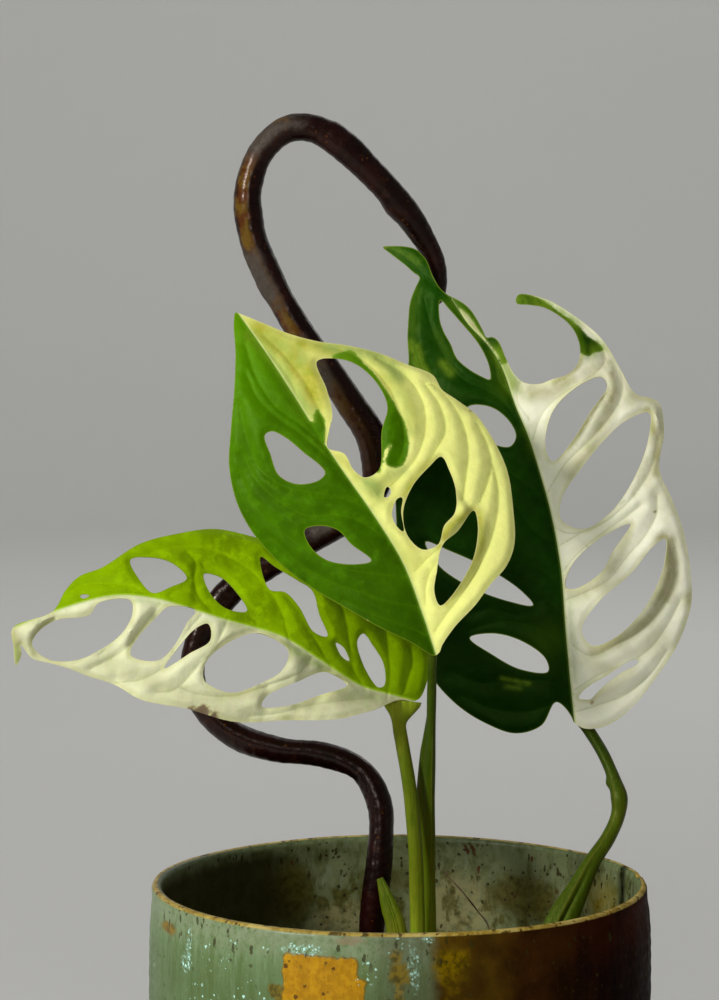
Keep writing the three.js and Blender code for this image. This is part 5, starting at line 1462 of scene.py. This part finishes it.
def stem_paint(look):
    """Green stalks with fine pale lines along them, yellower with age and brown and papery at the foot."""
    paint = Paint("stem_skin")
    blend, layers, step, noise = paint.blend, paint.layers, paint.step, paint.noise
    times, plus = paint.times, paint.plus
    age, foot, light, seam = (paint.field(label) for label in ("age", "foot", "light", "seam"))
    threads = noise(1.3, 4, 0.65, paint.stretched(1, 1, 0.07))
    cloud = noise(9, 3, 0.55)
    spots = step(noise(0.9, 2, 0.6), 0.66, 0.72)
    pale = times(step(light, 0.80, 1.20), step(threads, 0.2, 0.6))
    wavering = times(light, plus(times(threads, 0.9), 0.55))
    green = layers(
        blend(wavering, tint(28, 54, 3), tuple(look.colour)),
        (pale, tint(164, 184, 62), 0.55),
        (step(threads, 0.62, 0.40), tint(22, 32, 3), 0.12),
        (times(age, light, step(cloud, 0.35, 0.65)), tint(150, 146, 40)),
        (seam, tint(128, 116, 48), 0.25),
    )
    dry = times(step(plus(foot, times(cloud, 0.5)), 0.95, 1.3), 0.85)
    colour = layers(
        green,
        (dry, blend(step(threads, 0.36, 0.62), tint(104, 70, 30), tint(176, 146, 84))),
        (step(age, 0.9, 0.98), blend(threads, tint(92, 78, 40), tint(126, 128, 66))),
        (spots, tint(112, 84, 40), 0.5),
    )
    return paint.finish(
        colour,
        plus(0.38, times(dry, 0.3)),
        plus(times(threads, 0.3), times(cloud, 0.15)),
        0.9,
        Specular_IOR_Level=0.2,
        Specular_Tint=(0.8, 1.0, 0.3, 1.0),
        Subsurface_Weight=0.04,
    )


# Clay support and dry fibre

SUPPORT_ROUTE = [
    (-9.5, 15, 52), (-9.2, 15.5, 95), (-8.8, 16, 120.5), (-6.2, 18.5, 145), (-6.4, 21.5, 161),
    (-12.5, 25, 171.5), (-24.5, 29, 176), (-40.5, 32, 177.5), (-55, 35, 182), (-65.5, 37, 191.5),
    (-69, 38, 202.5), (-66.5, 39, 214.5), (-57, 40, 229), (-43, 41, 239), (-27, 42, 248), (-14, 42, 256),
    (-7.5, 42, 265), (-9, 42, 281), (-16, 42, 292.5), (-23.5, 42, 304), (-32, 43, 315.5), (-41, 44, 331),
    (-48.5, 45, 348), (-50, 46, 363), (-46, 46, 376), (-37, 46, 384), (-27.5, 47, 384), (-17.5, 48, 377.5),
    (-8.3, 50, 369), (0, 53, 360), (7, 57, 350.5), (12, 60.5, 341.5), (13.5, 63.5, 333), (12.5, 65, 325),
]
SUPPORT_SPAN = 514.3  # millimetres that the strand's waves and round ends are worked out on
SUPPORT_RADII = (3.6, 3.7, 4.2, 4.5, 4.3, 4.4, 4.4, 4.5, 4.8, 4.9, 4.8, 4.7, 4.6, 4.3, 3.2)
SUPPORT_RINGS, SUPPORT_SIDES = 560, 40
FIBRE_ROUTE = [
    (33, 6, 97), (29.2, 8, 123), (26.2, 12, 126.6), (23.2, 17, 129.8), (19.4, 23, 133.2), (15, 29, 137),
]
FIBRE_LENGTH = 54.0


def support_radius(share, turn):
    """Hand-rolled strand: slow swellings, flats that wander round it, and a few lumps, steps and dents."""
    along = share * SUPPORT_SPAN
    slow = 0.22 * np.sin(0.083 * along + 1) + 0.16 * np.sin(0.19 * along + 2 * np.sin(0.05 * along))
    flats = 0.20 * np.cos(2 * (turn - 0.013 * along)) + 0.10 * np.cos(3 * turn + 0.06 * along)
    fine = 0.05 * np.sin(0.9 * along + 2 * turn) * np.sin(0.37 * along)
    fine += 0.04 * np.sin(1.7 * along - 3 * turn)
    step = 0.75 * soft_step(share, 0.852, 0.857) * soft_step(share, 0.892, 0.868)
    step = step * towards(turn, math.pi, 0.9)
    bump = 0.8 * bell(share - 0.921, 0.008) * towards(turn, 0, 0.9)
    knob = 0.6 * bell(share - 0.712, 0.008) * towards(turn, math.pi, 1.0)
    dent = -0.5 * bell(share - 0.775, 0.01) * towards(turn, 0, 0.8)
    shape = between(SUPPORT_RADII, share) + slow + flats + fine + step + bump + knob + dent
    return shape * round_ends(share, SUPPORT_SPAN, 4)


def build_support(look, paint):
    """The clay strand: support_radius(s, w) carried along its S and loop."""
    points, faces, share, turn = sweep(
        SUPPORT_ROUTE, support_radius, look.girth, SUPPORT_RINGS, SUPPORT_SIDES
    )
    fields = {"along": share, "spin": np.cos(turn)}
    make_piece("clay_support", points, faces, paint, ["support_loop"], fields, sharp=70)


def support_paint(look):
    """Dark red-brown glaze that breaks to ochre and grey clay in bands along the strand. The clay shows only
    on the lit left side, leaving painted shade on the right, and a gold band on the left is painted light.
    """
    paint = Paint("brown_clay_glaze")
    blend, layers, step, noise, specks = paint.blend, paint.layers, paint.step, paint.noise, paint.specks
    times, plus, minus, largest = paint.times, paint.plus, paint.minus, paint.largest
    along = paint.field("along")
    cloud, fine, grit = noise(11, 4, 0.6), noise(4, 4, 0.6), noise(1.6, 4, 0.65)
    shaken = plus(along, paint.swing(fine, 0.03))
    spin = plus(paint.field("spin"), paint.swing(fine, 0.9))
    edge = 0.008
    bare = largest(
        *(
            times(step(shaken, low - edge, low + edge), step(shaken, high + edge, high - edge))
            for low, high in ((0.505, 0.55), (0.63, 0.672), (0.697, 0.738), (0.797, 0.835))
        )
    )
    # bare clay shows only on the strand's left, lit side; its right side keeps dark glaze as painted shade
    clay_on_lit_side = times(bare, step(fine, 0.26, 0.38), step(spin, 0.45, -0.30))
    clay = blend(step(grit, 0.25, 0.75), tint(58, 52, 46), tint(80, 72, 64))
    gold = blend(step(fine, 0.4, 0.6), tint(84, 44, 12), tint(104, 78, 20))
    # painted light: a gold band on the strand's left, lit side, beside its highlight
    lit_side_band = times(step(spin, 0.18, -0.12), step(spin, -1.0, -0.7), step(along, 0.55, 0.70))
    lit_side_band = times(lit_side_band, step(along, 0.812, 0.797), minus(1.0, clay_on_lit_side))
    base = tuple(look.colour)
    colour = layers(
        blend(step(cloud, 0.35, 0.65), tuple(0.35 * v for v in base), base),
        (step(fine, 0.55, 0.7), tint(46, 22, 10), 0.6),
        (clay_on_lit_side, blend(step(cloud, 0.54, 0.66), clay, tint(92, 68, 26), 0.6), 0.9),
        (lit_side_band, gold, 0.8),
        (specks(1.7, 0.3, share=0.3), tint(96, 56, 20), 0.4),
    )
    rough = plus(look.gloss, times(clay_on_lit_side, 0.34), times(grit, 0.08))
    relief = plus(times(fine, 0.3), times(grit, 0.04))
    tone = (1.0, 0.86, 0.76, 1.0)
    return paint.finish(colour, rough, relief, 0.8, Specular_IOR_Level=0.24, Specular_Tint=tone)


def fibre_radius(share, turn):
    """Thin and round, and wavering a little."""
    waver = 0.08 * np.sin(40 * share) + 0.06 * np.sin(3 * turn + 25 * share)
    return (0.24 + 0.6 * waver) * round_ends(share, FIBRE_LENGTH, 0.6)


def build_fibre(look, paint):
    """A thin dry fibre: fibre_radius(s, w) carried along one curve."""
    points, faces, *_ = sweep(FIBRE_ROUTE, fibre_radius, look.girth, 90, 14)
    make_piece("fibre", points, faces, paint, ["dry_fibre"], sharp=70)


def fibre_paint(look):
    paint = Paint("dry_fibre")
    threads = paint.noise(0.8, 3, 0.6)
    colour = paint.blend(paint.step(threads, 0.35, 0.65), tint(58, 44, 22), tuple(look.colour))
    return paint.finish(colour, 0.75, paint.times(threads, 0.2))


# Stage

CAMERA_PLACE = (-12.886, -950.0, 335.65)
CAMERA_TILT = 90 - 4.349
CAMERA_LENS = 106.776
MIDDLE = (0.0, 0.0, 190.0)


def build_floor(look):
    """A round studio floor that rises into a wall: a profile of radius and height turned about Z."""
    rings, columns = 24, 96
    turn = np.linspace(-math.pi / 2, 0, rings)
    bend = np.stack([look.reach + look.bend * np.cos(turn), look.bend * (1 + np.sin(turn))], 1)
    flat = np.stack([np.geomspace(0.05, look.reach, rings)[:-1], np.zeros(rings - 1)], 1)
    line = np.vstack([flat, bend, [(look.reach + look.bend, look.height)]])
    points = turned_points(line[:, :1], line[:, 1:], circle(columns))
    faces = grid_faces(len(line), columns, turned=True).tolist()
    faces += fan_faces(len(points), 0, columns).tolist()
    mesh = bpy.data.meshes.new("floor")
    mesh.from_pydata([*points.tolist(), (0.0, 0.0, 0.0)], [], faces)
    mesh.shade_smooth()
    paint = Paint("studio_floor")
    cloud = paint.noise(600, 2, 0.5)
    colour = paint.blend(cloud, tuple(0.96 * v for v in look.floor), tuple(look.floor))
    mesh.materials.append(paint.finish(colour, 0.75, paint.noise(2.0, 2, 0.5), 0.02))
    floor = bpy.data.objects.new("floor", mesh)
    bpy.context.scene.collection.objects.link(floor)


def add_softbox(name, place, size, watts, colour=(1.0, 1.0, 1.0), aim=MIDDLE):
    """A square area light that faces the middle of the plant or another place in millimetres."""
    lamp = bpy.data.lights.new(name, "AREA")
    lamp.shape, lamp.size, lamp.energy, lamp.color = "SQUARE", size, watts, colour
    holder = bpy.data.objects.new(name, lamp)
    holder.location = place
    away = holder.location - Vector(aim) * MM
    holder.rotation_mode = "QUATERNION"
    holder.rotation_quaternion = away.to_track_quat("Z", "Y")
    bpy.context.scene.collection.objects.link(holder)


def build_stage(look):
    """Floor, world, four soft lamps and the camera."""
    build_floor(look)
    add_softbox("key_softbox", (-1.55, -1.20, 1.15), 0.40, look.key, (1.0, 0.985, 0.95))
    add_softbox("front_softbox", (-0.28, -2.0, 1.05), 0.60, look.fill)
    add_softbox("back_softbox", (0.9, 1.7, 1.5), 1.2, look.back)
    add_softbox("wall_softbox", (0, 1.5, 2.6), 1.6, look.wall, aim=(0, 4200, 700))
    bpy.context.scene.view_settings.view_transform = "Standard"
    world = bpy.data.worlds.new("studio_world")
    world.use_nodes = True
    sky = next(n for n in world.node_tree.nodes if n.type == "BACKGROUND")
    sky.inputs["Color"].default_value = (*look.air, 1)
    sky.inputs["Strength"].default_value = look.ambient
    bpy.context.scene.world = world
    camera = bpy.data.cameras.new("camera")
    camera.sensor_fit, camera.sensor_width, camera.lens = "AUTO", 36.0, CAMERA_LENS
    camera.clip_start, camera.clip_end = 0.05, 40.0
    holder = bpy.data.objects.new("camera", camera)
    holder.location = tuple(v * MM for v in CAMERA_PLACE)
    holder.rotation_euler = (math.radians(CAMERA_TILT), 0, 0)
    bpy.context.scene.collection.objects.link(holder)
    bpy.context.scene.camera = holder


# What a user may change


def colour_of(name, about, default):
    return FloatVectorProperty(name=name, description=about, default=default, subtype="COLOR", min=0, max=1)


def share_of(name, about, default, high=1.0):
    return FloatProperty(name=name, description=about, default=default, subtype="FACTOR", min=0, max=high)


def length_of(name, about, default):
    return FloatProperty(name=name, description=about, default=default, unit="LENGTH", min=0, precision=5)


def power_of(name, about, default):
    return FloatProperty(name=name, description=about, default=default, unit="POWER", min=0)


def number_of(name, about, default, low, high):
    return IntProperty(name=name, description=about, default=default, min=low, max=high)


class PotLook(PropertyGroup):
    columns: number_of("Columns", "Faces round the pot", 300, 24, 400)
    relief: share_of("Relief", "Strength of throwing lines and wobble", 1.0, 3.0)
    gloss: share_of("Roughness", "Roughness of the glaze where it is smoothest", 0.30)
    rust_start: FloatVectorProperty(
        name="Rust start",
        description="Where rust glaze takes over from green, as lengths round the belly from the front",
        default=(0.006, 0.0125),
        size=2,
        unit="LENGTH",
    )


class SoilLook(PropertyGroup):
    chips: number_of("Bark chips", "Number of bark chips on the soil", 150, 0, 600)
    perlite: number_of("Perlite", "Number of perlite grains on the soil", 150, 0, 900)


class StemLook(PropertyGroup):
    girth: share_of("Girth", "Thickness of the stalks", 1.0, 1.1)
    colour: colour_of("Fresh green", "Colour of young stalks", tint(128, 150, 26))


class LeafLook(PropertyGroup):
    thickness: length_of("Thickness", "Thickness of a blade away from its veins", 0.00046)
    swelling: length_of("Swelling", "How far the blade rises between two veins", 0.00090)
    pucker: share_of("Pucker", "Strength of the fine unevenness", 1.0, 3.0)
    gloss: share_of("Roughness", "Roughness of the upper side where it is smoothest", 0.36)
    mint: colour_of("Mint", "Where green and pale mix", tint(152, 176, 92))
    fringe: colour_of("Fringe", "Edges of the pale parts", tint(196, 196, 112))
    centre_green: colour_of("Centre green", "Green of the front leaf", tint(68, 114, 0))
    centre_cream: colour_of("Centre cream", "Pale half of the front leaf", tint(242, 245, 144))
    centre_shade: colour_of("Centre shade", "Folded pale parts of the front leaf", tint(158, 160, 30))
    left_green: colour_of("Left green", "Green of the low leaf", tint(146, 186, 0))
    left_cream: colour_of("Left cream", "Pale half of the low leaf", tint(242, 245, 202))
    left_shade: colour_of("Left shade", "Folded pale parts of the low leaf", tint(160, 162, 104))
    right_green: colour_of("Right green", "Green of the tall leaf", tint(18, 54, 2))
    right_cream: colour_of("Right cream", "Pale half of the tall leaf", tint(250, 250, 224))
    right_shade: colour_of("Right shade", "Folded pale parts of the tall leaf", tint(150, 147, 80))


class SupportLook(PropertyGroup):
    girth: share_of("Girth", "Thickness of the clay strand", 1.0, 1.1)
    colour: colour_of("Glaze", "Main colour of the glaze", tint(34, 10, 8))
    gloss: share_of("Roughness", "Roughness of the glaze where it is smoothest", 0.20)


class FibreLook(PropertyGroup):
    girth: share_of("Girth", "Thickness of the dry fibre", 1.0, 1.2)
    colour: colour_of("Colour", "Lighter colour of the dry fibre", tint(86, 64, 30))


class StageLook(PropertyGroup):
    floor: colour_of("Floor", "Colour of floor and wall", tint(214, 214, 211))
    air: colour_of("Air", "Colour of the light from all round", (1.0, 1.0, 1.0))
    ambient: share_of("Ambient", "Strength of the light from all round", 0.16, 4.0)
    key: power_of("Key lamp", "Power of the soft lamp at the left front", 36.0)
    fill: power_of("Front lamp", "Power of the soft lamp above the camera", 7.0)
    back: power_of("Back lamp", "Power of the soft lamp at the back", 5.0)
    wall: power_of("Wall lamp", "Power of the soft lamp that lights the wall", 26.0)
    reach: length_of("Floor radius", "Radius of the flat floor", 3.0)
    bend: length_of("Bend", "Radius of the bend between floor and wall", 1.2)
    height: length_of("Wall height", "Height of the wall", 3.2)


class MONSTERA_OT_pot(Operator):
    """Builds the glazed pot with its lip, foot and drain holes"""

    bl_idname = "monstera.pot"
    bl_label = "Pot"

    def execute(self, context):
        look = context.scene.monstera_pot
        build_pot(look, pot_paint(look))
        return {"FINISHED"}


class MONSTERA_OT_soil(Operator):
    """Builds the potting mix with its bark chips and perlite"""

    bl_idname = "monstera.soil"
    bl_label = "Soil"

    def execute(self, context):
        build_soil(context.scene.monstera_soil, soil_paints())
        return {"FINISHED"}


class MONSTERA_OT_stems(Operator):
    """Builds the leaf stalks, the old sheath and the creeping stem"""

    bl_idname = "monstera.stems"
    bl_label = "Stems"

    def execute(self, context):
        look = context.scene.monstera_stems
        build_stems(look, stem_paint(look))
        return {"FINISHED"}


class MONSTERA_OT_leaves(Operator):
    """Builds the three variegated leaves"""

    bl_idname = "monstera.leaves"
    bl_label = "Leaves"

    def execute(self, context):
        look = context.scene.monstera_leaves
        tones = {
            "leaf_centre": (look.centre_green, look.centre_cream, look.centre_shade),
            "leaf_left": (look.left_green, look.left_cream, look.left_shade),
            "leaf_right": (look.right_green, look.right_cream, look.right_shade),
        }
        for name, leaf in LEAVES.items():
            paint = leaf_paint(name.replace("leaf", "blade"), look, *(tuple(tone) for tone in tones[name]))
            build_leaf(name, leaf, look, paint)
        return {"FINISHED"}


class MONSTERA_OT_support(Operator):
    """Builds the glazed clay strand behind the leaves"""

    bl_idname = "monstera.support"
    bl_label = "Clay support"

    def execute(self, context):
        look = context.scene.monstera_support
        build_support(look, support_paint(look))
        return {"FINISHED"}


class MONSTERA_OT_fibre(Operator):
    """Builds the thin dry fibre that stands in the pot"""

    bl_idname = "monstera.fibre"
    bl_label = "Dry fibre"

    def execute(self, context):
        look = context.scene.monstera_fibre
        build_fibre(look, fibre_paint(look))
        return {"FINISHED"}


class MONSTERA_OT_stage(Operator):
    """Builds the floor, the lamps, the world and the camera"""

    bl_idname = "monstera.stage"
    bl_label = "Stage"

    def execute(self, context):
        build_stage(context.scene.monstera_stage)
        return {"FINISHED"}


PARTS = (
    ("pot", PotLook, MONSTERA_OT_pot),
    ("soil", SoilLook, MONSTERA_OT_soil),
    ("stems", StemLook, MONSTERA_OT_stems),
    ("leaves", LeafLook, MONSTERA_OT_leaves),
    ("support", SupportLook, MONSTERA_OT_support),
    ("fibre", FibreLook, MONSTERA_OT_fibre),
    ("stage", StageLook, MONSTERA_OT_stage),
)


class MONSTERA_PT_parts(Panel):
    """Lists the parts of the plant with what may be changed on each"""

    bl_idname = "MONSTERA_PT_parts"
    bl_label = "Potted monstera"
    bl_space_type = "VIEW_3D"
    bl_region_type = "UI"
    bl_category = "Monstera"

    def draw(self, context):
        for name, look, operator in PARTS:
            box = self.layout.box()
            box.operator(operator.bl_idname)
            for key in look.__annotations__:
                box.prop(getattr(context.scene, "monstera_" + name), key)


def register():
    for name, look, operator in PARTS:
        bpy.utils.register_class(look)
        bpy.utils.register_class(operator)
        setattr(bpy.types.Scene, "monstera_" + name, PointerProperty(type=look))
    bpy.utils.register_class(MONSTERA_PT_parts)


def unregister():
    bpy.utils.unregister_class(MONSTERA_PT_parts)
    for name, look, operator in reversed(PARTS):
        delattr(bpy.types.Scene, "monstera_" + name)
        bpy.utils.unregister_class(operator)
        bpy.utils.unregister_class(look)


def main():
    register()
    for name, _, _ in PARTS:
        getattr(bpy.ops.monstera, name)()


if __name__ == "__main__":
    main()
